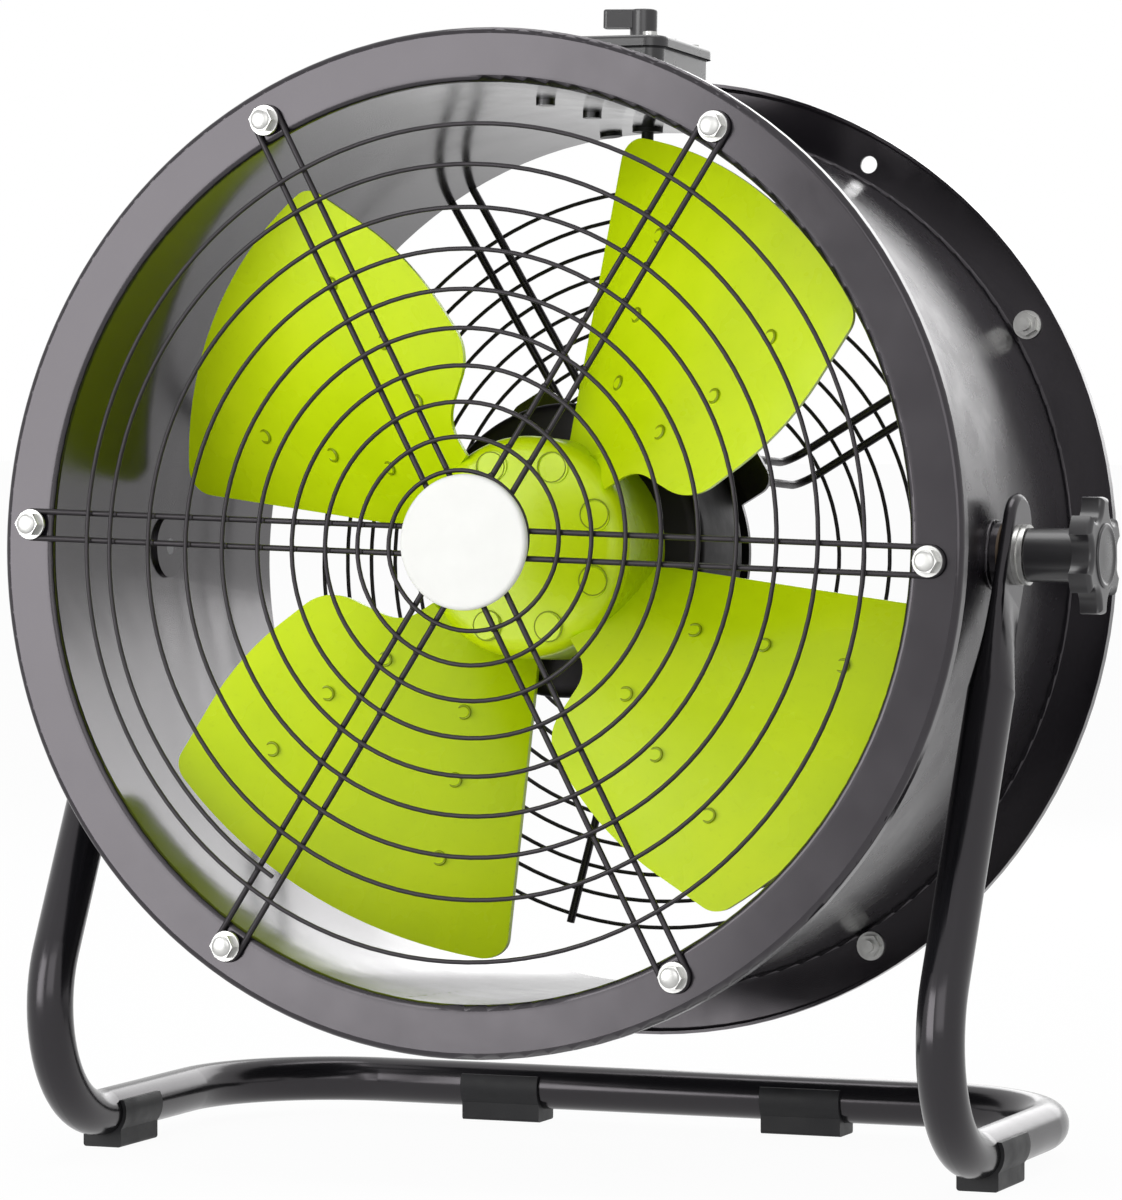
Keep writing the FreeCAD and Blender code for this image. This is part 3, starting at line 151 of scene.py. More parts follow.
class Finish:
    """A procedural material: nodes are added by name and wired into one Principled shader."""

    def __init__(self, name, **sockets):
        self.material = bpy.data.materials.new(name)
        self.material.use_nodes = True
        self.tree = self.material.node_tree
        self.shader = self.tree.nodes["Principled BSDF"]
        for socket, value in sockets.items():
            self.shader.inputs[socket.replace("_", " ")].default_value = value

    def node(self, kind, inputs=None, **settings):
        return add(self.tree, kind, inputs, **settings)

    def link(self, source, target):
        self.tree.links.new(source, target)

    def set(self, socket, value):
        self.link(value, self.shader.inputs[socket])

    def place(self, scale=(1.0, 1.0, 1.0)):
        """Object coordinates through a Mapping node."""
        coordinates = self.node("ShaderNodeTexCoord")
        mapping = self.node("ShaderNodeMapping", {"Scale": scale})
        self.link(coordinates.outputs["Object"], mapping.inputs["Vector"])
        return mapping.outputs["Vector"]

    def noise(self, vector, scale, detail=3.0, roughness=0.5):
        made = self.node("ShaderNodeTexNoise", {"Scale": scale, "Detail": detail, "Roughness": roughness})
        self.link(vector, made.inputs["Vector"])
        return made.outputs["Fac"]

    def range(self, value, low, high, out_low, out_high):
        limits = {"From Min": low, "From Max": high, "To Min": out_low, "To Max": out_high}
        made = self.node("ShaderNodeMapRange", limits)
        self.link(value, made.inputs["Value"])
        return made.outputs["Result"]

    def colours(self, value, *stops):
        """A colour ramp from (position, colour) pairs."""
        made = self.node("ShaderNodeValToRGB")
        ramp = made.color_ramp
        while len(ramp.elements) < len(stops):
            ramp.elements.new(0.5)
        for element, (position, colour) in zip(ramp.elements, stops):
            element.position = position
            element.color = (*colour, 1.0)
        self.link(value, made.inputs["Fac"])
        return made.outputs["Color"]

    def blend(self, share, under, over):
        """One plain colour laid over another node's colour, by a share from a third."""
        made = self.node("ShaderNodeMix", data_type="RGBA")
        made.inputs[MIX_OVER].default_value = (*over, 1.0)
        self.link(share, made.inputs[MIX_SHARE])
        self.link(under, made.inputs[MIX_UNDER])
        return made.outputs[MIX_RESULT]

    def bump(self, *layers):
        """Stacked bumps from (height, strength, distance in metres)."""
        normal = None
        for height, strength, distance in layers:
            made = self.node("ShaderNodeBump", {"Strength": strength, "Distance": distance})
            self.link(height, made.inputs["Height"])
            if normal is not None:
                self.link(normal, made.inputs["Normal"])
            normal = made.outputs["Normal"]
        self.set("Normal", normal)

    def from_axis(self):
        """Distance from the drum's axis, in metres."""
        coordinates = self.node("ShaderNodeTexCoord")
        to_drum = {"Location": PIVOT, "Rotation": (-REST_TILT, 0.0, 0.0)}
        mapping = self.node("ShaderNodeMapping", to_drum, vector_type="TEXTURE")
        flat = self.node("ShaderNodeVectorMath", {1: (1.0, 0.0, 1.0)}, operation="MULTIPLY")
        length = self.node("ShaderNodeVectorMath", operation="LENGTH")
        self.link(coordinates.outputs["Object"], mapping.inputs["Vector"])
        self.link(mapping.outputs["Vector"], flat.inputs[0])
        self.link(flat.outputs["Vector"], length.inputs[0])
        return length.outputs["Value"]

    def times(self, first, second):
        made = self.node("ShaderNodeMath", operation="MULTIPLY")
        self.link(first, made.inputs[0])
        self.link(second, made.inputs[1])
        return made.outputs[0]


def shade(colour, factor, lift=0.0):
    """A colour made darker or lighter, and lifted by a little grey."""
    return tuple(c * factor + lift for c in colour)


def worn_edges(finish, radius, low, high):
    """A mask that is 1 along sharp edges, where the rounded normal leaves the true one."""
    bevel = finish.node("ShaderNodeBevel", {"Radius": radius}, samples=4)
    geometry = finish.node("ShaderNodeNewGeometry")
    dot = finish.node("ShaderNodeVectorMath", operation="DOT_PRODUCT")
    finish.link(bevel.outputs["Normal"], dot.inputs[0])
    finish.link(geometry.outputs["True Normal"], dot.inputs[1])
    return finish.range(dot.outputs["Value"], high, low, 0.0, 1.0)


def powder_coat(name, base, gloss, peel, shine, bore_gloss=None):
    """Stoved paint with faint orange peel, slow colour drift and rubbed patches.

    With a bore gloss, the duct's bore and the flanges' flat faces are smoother than the barrel.
    """
    finish = Finish(name, Specular_IOR_Level=shine, Specular_Tint=COAT_TINT)
    vector = finish.place()
    drift = finish.noise(vector, scale=9.0, detail=4.0)
    finish.set("Base Color", finish.colours(drift, (0.32, shade(base, 0.82)), (0.72, shade(base, 1.25))))
    rubbed = finish.noise(vector, scale=38.0, detail=5.0, roughness=0.62)
    roughness = finish.range(rubbed, 0.3, 0.75, gloss * 0.85, gloss * 1.3)
    if bore_gloss is not None:
        outside = finish.range(finish.from_axis(), BORE_WALL, BORE_WALL + BORE_EDGE, bore_gloss / gloss, 1.0)
        facing = finish.range(finish.from_axis(), FLANGE_INNER, FLANGE_INNER + FLANGE_EDGE, 1.0, 0.62)
        roughness = finish.times(finish.times(roughness, outside), facing)
    finish.set("Roughness", roughness)
    finish.bump((finish.noise(vector, scale=420.0, detail=1.5), peel, 0.00008))
    return finish.material


def plated_metal(name, base, roughness):
    """Plated or bare metal with faint milky clouding and a fine tooth."""
    finish = Finish(name, Metallic=1.0)
    vector = finish.place()
    cloud = finish.noise(vector, scale=160.0, detail=4.0)
    finish.set("Base Color", finish.colours(cloud, (0.3, shade(base, 0.8)), (0.7, base)))
    finish.set("Roughness", finish.range(cloud, 0.25, 0.8, roughness * 0.7, roughness * 1.6))
    finish.bump((finish.noise(vector, scale=1500.0, detail=2.0), 0.15, 0.00003))
    return finish.material


def moulded_lime(name, depth=1.0):
    """Semi-gloss lime moulding with flow clouds, darker specks and a fine skin; a lower depth darkens every
    tone, which paints shade.
    """
    finish = Finish(name, Specular_IOR_Level=0.36)
    vector = finish.place()
    flow = finish.noise(finish.place(scale=(1.0, 1.6, 1.0)), scale=14.0, detail=4.0, roughness=0.55)
    speck = finish.noise(vector, scale=420.0, detail=2.0)
    tone = finish.colours(
        flow,
        (0.28, shade((0.59, 0.79, 0.002), depth)),
        (0.55, shade((0.66, 0.86, 0.003), depth)),
        (0.8, shade((0.73, 0.91, 0.006), depth)),
    )
    specks = finish.range(speck, 0.62, 0.78, 0.0, 0.22)
    finish.set("Base Color", finish.blend(specks, tone, shade((0.48, 0.66, 0.002), depth)))
    finish.set("Roughness", finish.range(flow, 0.25, 0.8, 0.20, 0.36))
    finish.bump((finish.noise(vector, scale=260.0, detail=2.0), 0.18, 0.0001), (flow, 0.25, 0.0006))
    return finish.material


def grained_plastic(name, base, roughness, shine=0.45, grain=0.5):
    """Moulded plastic with a spark-eroded grain and scuffed edges."""
    finish = Finish(name, Specular_IOR_Level=shine)
    vector = finish.place()
    drift = finish.noise(vector, scale=30.0)
    tone = finish.colours(drift, (0.3, shade(base, 0.94)), (0.75, shade(base, 1.08)))
    scuffs = worn_edges(finish, radius=0.0008, low=0.80, high=0.99)
    pale = tuple(min(1.0, c) for c in shade(base, 1.6, 0.01))
    finish.set("Base Color", finish.blend(scuffs, tone, pale))
    finish.set("Roughness", finish.range(drift, 0.3, 0.75, roughness * 0.95, roughness * 1.06))
    finish.bump((finish.noise(vector, scale=1400.0, detail=2.0), grain, 0.00006))
    return finish.material


def soft_rubber(name, base):
    """Satin rubber with a dusty bloom."""
    finish = Finish(name, Specular_IOR_Level=0.32)
    vector = finish.place()
    bloom = finish.noise(vector, scale=60.0, detail=5.0, roughness=0.6)
    satin = 0.48
    finish.set("Base Color", finish.colours(bloom, (0.35, base), (0.85, shade(base, 2.2, 0.006))))
    finish.set("Roughness", finish.range(bloom, 0.3, 0.8, satin * 0.85, satin * 1.4))
    finish.bump((finish.noise(vector, scale=900.0, detail=2.0), 0.4, 0.00008))
    return finish.material


def stove_enamel():
    """White stove enamel on the guard's centre disc."""
    finish = Finish("disc_enamel", Specular_IOR_Level=0.15)
    vector = finish.place()
    cloud = finish.noise(vector, scale=55.0)
    finish.set("Base Color", finish.colours(cloud, (0.3, (0.74, 0.74, 0.71)), (0.7, (0.78, 0.78, 0.75))))
    finish.set("Roughness", finish.range(cloud, 0.3, 0.7, 0.44, 0.54))
    finish.bump((finish.noise(vector, scale=600.0, detail=2.0), 0.12, 0.00005))
    return finish.material


def wound_copper():
    """Enamelled copper end turns, darker in the grooves between turns as painted shade."""
    finish = Finish("copper_turns", Metallic=0.9)
    turns = {"Scale": 240.0, "Distortion": 1.5}
    wave = finish.node("ShaderNodeTexWave", turns, wave_type="RINGS", rings_direction="Y")
    finish.link(finish.place(), wave.inputs["Vector"])
    ridge = wave.outputs["Fac"]
    # The colour follows the bump's ridge, so the grooves between turns are darker: painted shade.
    finish.set("Base Color", finish.colours(ridge, (0.2, (0.30, 0.11, 0.03)), (0.8, (0.66, 0.30, 0.11))))
    finish.set("Roughness", finish.range(ridge, 0.0, 1.0, 0.45, 0.28))
    finish.bump((ridge, 0.6, 0.0004))
    return finish.material


PAINT = powder_coat("drum_paint", (0.009, 0.008, 0.010), gloss=0.25, peel=0.05, shine=0.6, bore_gloss=0.15)
TUBE_PAINT = powder_coat("tube_paint", (0.006, 0.006, 0.007), gloss=0.18, peel=0.10, shine=0.5)
WIRE_PAINT = powder_coat("wire_paint", (0.009, 0.008, 0.009), gloss=0.40, peel=0.2, shine=0.4)
MOTOR_PAINT = powder_coat("motor_paint", (0.005, 0.004, 0.005), gloss=0.5, peel=0.4, shine=0.2)
ZINC = plated_metal("zinc_plate", (0.58, 0.58, 0.565), roughness=0.34)
DARK_STEEL = plated_metal("blackened_steel", (0.16, 0.16, 0.165), roughness=0.38)
BARE_STEEL = plated_metal("bare_steel", (0.55, 0.55, 0.56), roughness=0.34)
CAST = plated_metal("cast_alloy", (0.66, 0.66, 0.67), roughness=0.5)
LIME = moulded_lime("lime_moulding")
# A darker lime that paints the shade round the blades' pin marks and the hub bosses' edges.
LIME_PAINTED_SHADE = moulded_lime("lime_painted_shade", depth=0.42)
BLACK_PLASTIC = grained_plastic("black_moulding", (0.022, 0.021, 0.023), 0.28, shine=0.6, grain=0.35)
DARK_PLASTIC = grained_plastic("dark_fitting", (0.022, 0.022, 0.022), roughness=0.5)
RUBBER = soft_rubber("foot_rubber", (0.008, 0.008, 0.009))
LEAD = soft_rubber("lead_sheath", (0.016, 0.016, 0.016))
FIBRE = grained_plastic("brake_fibre", (0.10, 0.07, 0.045), roughness=0.8)
DISC = stove_enamel()
COPPER = wound_copper()
MARKING = grained_plastic("dial_white", (0.75, 0.75, 0.73), roughness=0.5)

NODE_FINISHES = (
    (PAINT, "drum_shell pivot_boss_right pivot_boss_left motor_plate"),
    (TUBE_PAINT, "stand_tube"),
    (WIRE_PAINT, "front_guard rear_guard motor_arms"),
    (MOTOR_PAINT, "rotor_can"),
    (ZINC, "front_guard_bolts front_guard_nuts rear_guard_bolts rear_guard_nuts"),
    (ZINC, "motor_base_screws impeller_screws lid_screws clamp_washer_right clamp_washer_left"),
    (DARK_STEEL, "box_screws clamp_stud_right clamp_stud_left"),
    (BARE_STEEL, "switch_spindle motor_shaft front_bearing rear_bearing stator_core rotor_cage"),
    (CAST, "motor_base"),
    (LIME, "impeller"),
    (BLACK_PLASTIC, "clamp_knob_right clamp_knob_left switch_box box_lid speed_knob"),
    (DARK_PLASTIC, "rotary_switch run_capacitor terminal_block cable_glands"),
    (DISC, "guard_disc"),
    (RUBBER, "foot_front_right foot_front_left foot_rear_right foot_rear_left"),
    (RUBBER, "box_gasket cable_grommet blanking_plug"),
    (LEAD, "motor_cable"),
    (FIBRE, "friction_pad_right friction_pad_left"),
    (COPPER, "stator_windings"),
)
for finish_material, names in NODE_FINISHES:
    for node_name in names.split():
        slots = NODES[node_name].data.materials
        slots.clear()
        slots.append(finish_material)

# The studio: light from all round, the floor's paper and reach, and how much of it shows as plain white.
AMBIENT = 0.46
AMBIENT_TINT = (0.96, 0.97, 1.0, 1.0)
WHITE = (1.0, 1.0, 1.0, 1.0)
PAPER = (0.9, 0.9, 0.9, 1.0)
PAPER_WHITE = 0.96
FLOOR_REACH = 30.0

# Each lamp's name, place, aim, width, height and power, in metres and watts.
LAMPS = (
    ("key_lamp", (-1.05, -1.75, 0.60), (-0.10, -0.12, 0.30), 1.1, 1.35, 22.0),
    ("fill_lamp", (0.75, -2.3, 1.05), (0.0, 0.0, 0.288), 1.5, 1.5, 11.0),
    ("top_lamp", (0.0, 0.1, 2.2), (0.0, 0.0, 0.288), 1.6, 1.2, 20.0),
    ("back_lamp", (0.0, 2.0, 0.95), (0.0, 0.0, 0.288), 1.5, 1.2, 12.0),
)

# The photograph's long lens: where it stands and which ways are right and up in its picture.
CAMERA_PLACE = Vector((1.00007, -2.57149, 0.35783))
CAMERA_RIGHT = Vector((0.9316, 0.3636, 0.0))
CAMERA_UP = Vector((-0.0123, 0.0315, 0.9994))
CAMERA_LENS = 174.46
CAMERA_FILM = 36.0
CAMERA_SIGHT = 100.0


def seen_rays(tree):
    """1 for a ray from the camera, a reflection or a see-through piece, 0 for one that only lights."""
    path = add(tree, "ShaderNodeLightPath")
    result = path.outputs["Is Camera Ray"]
    for name in ("Is Glossy Ray", "Is Transmission Ray"):
        larger = add(tree, "ShaderNodeMath", operation="MAXIMUM")
        tree.links.new(result, larger.inputs[0])
        tree.links.new(path.outputs[name], larger.inputs[1])
        result = larger.outputs[0]
    return result


def mixed_surface(tree, share, first, second, output):
    """A tree's surface: one shader for share 0, another for share 1."""
    mix = add(tree, "ShaderNodeMixShader")
    out = add(tree, output)
    tree.links.new(share, mix.inputs["Fac"])
    tree.links.new(first.outputs[0], mix.inputs[1])
    tree.links.new(second.outputs[0], mix.inputs[2])
    tree.links.new(mix.outputs[0], out.inputs["Surface"])


def surround():
    """Soft light from all round, which shows as plain white to the camera and in reflections."""
    world = bpy.data.worlds.new("surround")
    bpy.context.scene.world = world
    world.use_nodes = True
    tree = world.node_tree
    tree.nodes.clear()
    ambient = add(tree, "ShaderNodeBackground", {"Color": AMBIENT_TINT, "Strength": AMBIENT})
    white = add(tree, "ShaderNodeBackground", {"Color": WHITE, "Strength": 1.0})
    mixed_surface(tree, seen_rays(tree), ambient, white, "ShaderNodeOutputWorld")


def studio_floor():
    """A floor of pale paper that keeps the object's shadow."""
    mesh = bpy.data.meshes.new("studio_floor")
    corners = [(x * FLOOR_REACH, y * FLOOR_REACH, 0) for x, y in ((-1, -1), (1, -1), (1, 1), (-1, 1))]
    mesh.from_pydata(corners, [], [(0, 1, 2, 3)])
    floor = bpy.data.objects.new("studio_floor", mesh)
    bpy.context.scene.collection.objects.link(floor)
    paper = bpy.data.materials.new("studio_paper")
    paper.use_nodes = True
    tree = paper.node_tree
    tree.nodes.clear()
    diffuse = add(tree, "ShaderNodeBsdfDiffuse", {"Color": PAPER})
    glow = add(tree, "ShaderNodeEmission", {"Strength": 1.0})
    share = add(tree, "ShaderNodeMath", {1: PAPER_WHITE}, operation="MULTIPLY")
    tree.links.new(seen_rays(tree), share.inputs[0])
    mixed_surface(tree, share.outputs[0], diffuse, glow, "ShaderNodeOutputMaterial")
    mesh.materials.append(paper)


def studio_lamps():
    """Soft rectangular lamps, each aimed at the fan."""
    for name, place, aim, width, height, power in LAMPS:
        light = bpy.data.lights.new(name, "AREA")
        light.shape = "RECTANGLE"
        light.size = width
        light.size_y = height
        light.energy = power
        lamp = bpy.data.objects.new(name, light)
        lamp.location = place
        lamp.rotation_euler = (Vector(aim) - Vector(place)).to_track_quat("-Z", "Y").to_euler()
        bpy.context.scene.collection.objects.link(lamp)


def photograph_camera():
    """The photograph's viewing angle: a little above the drum's centre, from the front right."""
    data = bpy.data.cameras.new("camera")
    data.lens = CAMERA_LENS
    data.sensor_width = CAMERA_FILM
    data.clip_end = CAMERA_SIGHT
    camera = bpy.data.objects.new("camera", data)
    back = CAMERA_RIGHT.cross(CAMERA_UP).normalized()
    turn = Matrix((CAMERA_RIGHT, CAMERA_UP, back)).transposed().to_4x4()
    camera.matrix_world = Matrix.Translation(CAMERA_PLACE) @ turn
    bpy.context.scene.collection.objects.link(camera)
    bpy.context.scene.camera = camera


def piece(name, mesh, body, material=None):
    """A finished mesh, in the floor's frame, as a piece that rides on a body."""
    if material is not None:
        mesh.materials.clear()
        mesh.materials.append(material)
    made = bpy.data.objects.new(name, mesh)
    bpy.context.scene.collection.objects.link(made)
    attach(made, body)


def sized_tree(name, sizes):
    """An empty Geometry Nodes tree with a geometry socket each way and one named input for each size."""
    tree = bpy.data.node_groups.new(name, "GeometryNodeTree")
    tree.interface.new_socket("Geometry", in_out="INPUT", socket_type="NodeSocketGeometry")
    for label, value in sizes.items():
        socket = tree.interface.new_socket(label, in_out="INPUT", socket_type="NodeSocketFloat")
        socket.default_value = value
    tree.interface.new_socket("Geometry", in_out="OUTPUT", socket_type="NodeSocketGeometry")
    return tree, add(tree, "NodeGroupInput")


def close_tree(tree, geometry, material):
    """The end of a tree: real geometry, in its material."""
    realise = add(tree, "GeometryNodeRealizeInstances")
    paint = add(tree, "GeometryNodeSetMaterial", {"Material": material})
    result = add(tree, "NodeGroupOutput")
    tree.links.new(geometry, realise.inputs["Geometry"])
    tree.links.new(realise.outputs["Geometry"], paint.inputs["Geometry"])
    tree.links.new(paint.outputs["Geometry"], result.inputs["Geometry"])


def realised(name, mesh, tree, sizes):
    """The plain mesh that a tree makes from a mesh."""
    holder = bpy.data.objects.new(name + "_source", mesh)
    bpy.context.scene.collection.objects.link(holder)
    modifier = holder.modifiers.new(name, "NODES")
    modifier.node_group = tree
    for item in tree.interface.items_tree:
        if item.in_out == "INPUT" and item.name in sizes:
            modifier[item.identifier] = sizes[item.name]
    bpy.context.view_layer.update()
    finished = bpy.data.meshes.new_from_object(holder.evaluated_get(bpy.context.evaluated_depsgraph_get()))
    bpy.data.objects.remove(holder)
    finished.name = name
    finished.shade_smooth()
    return finished


def scatter(name, places, shape, sizes, material, body):
    """Geometry Nodes: one small shape at each (position, facing), realised as a plain mesh."""
    mesh = bpy.data.meshes.new(name)
    mesh.from_pydata([tuple(position) for position, _ in places], [], [])
    facing = mesh.attributes.new("facing", "FLOAT_VECTOR", "POINT")
    facing.data.foreach_set("vector", [value for _, direction in places for value in direction])
    tree, given = sized_tree(name, sizes)
    direction = add(tree, "GeometryNodeInputNamedAttribute", {"Name": "facing"}, data_type="FLOAT_VECTOR")
    align = add(tree, "FunctionNodeAlignRotationToVector", axis="Z")
    instance = add(tree, "GeometryNodeInstanceOnPoints")
    tree.links.new(direction.outputs["Attribute"], align.inputs["Vector"])
    tree.links.new(given.outputs["Geometry"], instance.inputs["Points"])
    tree.links.new(shape(tree, given), instance.inputs["Instance"])
    tree.links.new(align.outputs["Rotation"], instance.inputs["Rotation"])
    close_tree(tree, instance.outputs["Instances"], material)
    piece(name, realised(name, mesh, tree, sizes), body)


def flattened(tree, ball, height):
    """A ball pressed flat along its facing."""
    flat = add(tree, "GeometryNodeTransform", {"Scale": (1.0, 1.0, height)})
    tree.links.new(ball.outputs["Mesh"], flat.inputs["Geometry"])
    return flat.outputs["Geometry"]


def weld_drop(tree, given):
    """A flattened bead of weld metal."""
    ball = add(tree, "GeometryNodeMeshIcoSphere", {"Subdivisions": 2})
    tree.links.new(given.outputs["Bead radius"], ball.inputs["Radius"])
    return flattened(tree, ball, 0.62)


def head_dome(tree, given):
    """The low crown of a bolt head."""
    ball = add(tree, "GeometryNodeMeshUVSphere", {"Segments": 24, "Rings": 12})
    tree.links.new(given.outputs["Crown radius"], ball.inputs["Radius"])
    return flattened(tree, ball, 0.26)


def raised_ring(tree, given):
    """A low moulded ring."""
    path = add(tree, "GeometryNodeCurvePrimitiveCircle", {"Resolution": 20})
    section = add(tree, "GeometryNodeCurvePrimitiveCircle", {"Resolution": 8})
    sweep = add(tree, "GeometryNodeCurveToMesh")
    tree.links.new(given.outputs["Ring radius"], path.inputs["Radius"])
    tree.links.new(given.outputs["Ring height"], section.inputs["Radius"])
    tree.links.new(path.outputs["Curve"], sweep.inputs["Curve"])
    tree.links.new(section.outputs["Curve"], sweep.inputs["Profile Curve"])
    return sweep.outputs["Mesh"]


def grip_rib(tree, given):
    """A slim rounded bar standing along its facing."""
    bar = add(tree, "GeometryNodeMeshCylinder", {"Vertices": 8})
    tree.links.new(given.outputs["Rib radius"], bar.inputs["Radius"])
    tree.links.new(given.outputs["Rib length"], bar.inputs["Depth"])
    return bar.outputs["Mesh"]


def cross_slot(tree, given):
    """A cross of two shallow bars, as a driver's recess shows."""
    join = add(tree, "GeometryNodeJoinGeometry")
    for along, across in (("X", "Y"), ("Y", "X")):
        size = add(tree, "ShaderNodeCombineXYZ")
        bar = add(tree, "GeometryNodeMeshCube")
        tree.links.new(given.outputs["Slot length"], size.inputs[along])
        tree.links.new(given.outputs["Slot width"], size.inputs[across])
        tree.links.new(given.outputs["Slot depth"], size.inputs["Z"])
        tree.links.new(size.outputs["Vector"], bar.inputs["Size"])
        tree.links.new(bar.outputs["Mesh"], join.inputs["Geometry"])
    return join.outputs["Geometry"]


def wires(count, first, offset):
    """The straight wires of a guard as (angle, offset): a pair at each angle, or one with no offset."""
    sides = (-1, 1) if offset else (0,)
    angles = [first + FULL_TURN / count * i + PATTERN_TURN for i in range(count)]
    return [(angle, side * offset) for angle in angles for side in sides]


def on_wire(radius, wire):
    """Angle at which a straight wire, offset from its spoke's line, stands at a radius."""
    angle, offset = wire
    return angle + math.degrees(math.asin(offset / radius))


def coil_crossings(wire):
    """Radii at which the front coil crosses a wire, outside the disc, each found in a few rounds."""
    found = []
    for turn in range(math.ceil(COIL_TURNS)):
        radius = COIL_START + COIL_SPACING * turn
        for _ in range(COIL_ROUNDS):
            turns = turn + (on_wire(radius, wire) - COIL_ANGLE - PATTERN_TURN) / FULL_TURN % 1.0
            radius = COIL_START + COIL_PITCH * turns + COIL_OPENING * turns ** 2
        if turns <= COIL_TURNS and radius > DISC_COVER:
            found.append(radius)
    return found


def guard_welds():
    """Weld beads wherever a guard ring crosses a straight wire."""
    beads = []
    for wire in wires(FRONT_SPOKES, 0.0, FRONT_WIRE_OFFSET):
        beads += [(radius, wire, FRONT_WELD_Y) for radius in [OUTER_RING] + coil_crossings(wire)]
    for wire in wires(ARMS, ARM_ANGLE, ARM_WIRE_OFFSET):
        beads += [(radius, wire, REAR_WELD_Y) for radius in REAR_RINGS if radius > ARM_BEND]
    for wire in wires(REAR_SPOKES, REAR_SPOKE_ANGLE, 0.0):
        beads += [(radius, wire, REAR_WELD_Y) for radius in REAR_RINGS]
    places = [(HEAD @ polar(radius, on_wire(radius, wire), y), AHEAD) for radius, wire, y in beads]
    bead = {"Bead radius": 1.55 * MM}
    scatter("guard_welds", places, weld_drop, bead, WIRE_PAINT, "fan_head")


def impeller_marks():
    """Half-sunk ejector-pin rings on each blade and a rim round each hub boss, in a darker lime that paints
    their shade.
    """
    source = NODES["impeller"].data
    tree = BVHTree.FromPolygons([v.co for v in source.vertices], [p.vertices for p in source.polygons])

    def seated(radius, angle):
        """The place on the impeller's front, looking back along the axis, and the way that it faces."""
        hit, normal, _, _ = tree.ray_cast(HEAD @ polar(radius, angle, CLEAR_OF_IMPELLER), BEHIND)
        return hit, normal if normal.dot(BEHIND) < 0 else -normal

    sunk_side = Vector((MARK_SUNK, 0.0, 0.0))
    rings = []
    for blade in range(BLADES):
        edge = BLADE_EDGE + FULL_TURN / BLADES * blade + PATTERN_TURN
        for radius, behind in BLADE_MARKS:
            place, outward = seated(radius, edge - behind)
            rings.append((place, outward - sunk_side))
    ring = {"Ring radius": 3.2 * MM, "Ring height": 0.65 * MM}
    # The rings' darker lime paints the shaded crescent of each pin mark.
    scatter("blade_marks", rings, raised_ring, ring, LIME_PAINTED_SHADE, "rotor")

    boss_step = FULL_TURN / HUB_BOSSES
    rims = [seated(HUB_BOSS_CIRCLE, HUB_BOSS_ANGLE + boss_step * i) for i in range(HUB_BOSSES)]
    rim = {"Ring radius": HUB_BOSS_RADIUS * MM, "Ring height": 0.32 * MM}
    # The rims' darker lime paints the shaded groove round each boss.
    scatter("hub_rims", rims, raised_ring, rim, LIME_PAINTED_SHADE, "rotor")


def revolved(section, place, segments=48):
    """A closed mesh spun about Z from (radius, height) in millimetres, then placed; it ends at the axis."""
    shape = bmesh.new()
    turns = [2.0 * math.pi * i / segments for i in range(segments)]
    rings = []
    for radius, height in section:
        if radius == 0.0:
            rings.append([shape.verts.new((0.0, 0.0, height * MM))])
            continue
        reach = radius * MM
        circle = [(reach * math.cos(turn), reach * math.sin(turn), height * MM) for turn in turns]
        rings.append([shape.verts.new(point) for point in circle])
    for lower, upper in zip(rings, rings[1:]):
        for i in range(segments):
            k = (i + 1) % segments
            if len(lower) == 1:
                shape.faces.new((lower[0], upper[i], upper[k]))
            elif len(upper) == 1:
                shape.faces.new((lower[i], lower[k], upper[0]))
            else:
                shape.faces.new((lower[i], lower[k], upper[k], upper[i]))
    bmesh.ops.recalc_face_normals(shape, faces=shape.faces)
    mesh = bpy.data.meshes.new("revolved")
    shape.to_mesh(mesh)
    shape.free()
    mesh.transform(place)
    mesh.shade_smooth()
    return mesh


def knob_caps():
    """Domed cover with a raised rim on each clamp knob's outer face."""
    for side, body in ((1, "knob_right"), (-1, "knob_left")):
        low_corner, high_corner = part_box("clamp_" + body)
        face = high_corner.x if side > 0 else low_corner.x
        outward = Matrix.Rotation(side * math.pi / 2, 4, "Y")
        place = Matrix.Translation(Vector((face, 0.0, PIVOT.z))) @ outward
        piece(body + "_cap", revolved(CAP_SECTION, place), body, BLACK_PLASTIC)


def weld_bead(name, route, closed, sizes, material, body):
    """Geometry Nodes: a rippled bead of weld along a route, realised as a plain mesh."""
    mesh = bpy.data.meshes.new(name)
    count = len(route)
    edges = [(i, (i + 1) % count) for i in range(count if closed else count - 1)]
    mesh.from_pydata([tuple(point) for point in route], edges, [])
    tree, given = sized_tree(name, sizes)
    line = add(tree, "GeometryNodeMeshToCurve")
    section = add(tree, "GeometryNodeCurvePrimitiveCircle", {"Resolution": 10})
    sweep = add(tree, "GeometryNodeCurveToMesh", {"Fill Caps": True})
    ripple = add(tree, "ShaderNodeTexNoise")
    centred = add(tree, "ShaderNodeMath", {1: 0.5}, operation="SUBTRACT")
    amount = add(tree, "ShaderNodeMath", operation="MULTIPLY")
    normal = add(tree, "GeometryNodeInputNormal")
    push = add(tree, "ShaderNodeVectorMath", operation="SCALE")
    move = add(tree, "GeometryNodeSetPosition")
    link = tree.links.new
    link(given.outputs["Geometry"], line.inputs["Mesh"])
    link(given.outputs["Bead radius"], section.inputs["Radius"])
    link(line.outputs["Curve"], sweep.inputs["Curve"])
    link(section.outputs["Curve"], sweep.inputs["Profile Curve"])
    link(given.outputs["Ripples per metre"], ripple.inputs["Scale"])
    link(ripple.outputs["Fac"], centred.inputs[0])
    link(centred.outputs[0], amount.inputs[0])
    link(given.outputs["Ripple height"], amount.inputs[1])
    link(normal.outputs["Normal"], push.inputs[0])
    link(amount.outputs[0], push.inputs["Scale"])
    link(sweep.outputs["Mesh"], move.inputs["Geometry"])
    link(push.outputs["Vector"], move.inputs["Offset"])
    close_tree(tree, move.outputs["Geometry"], material)
    piece(name, realised(name, mesh, tree, sizes), body)


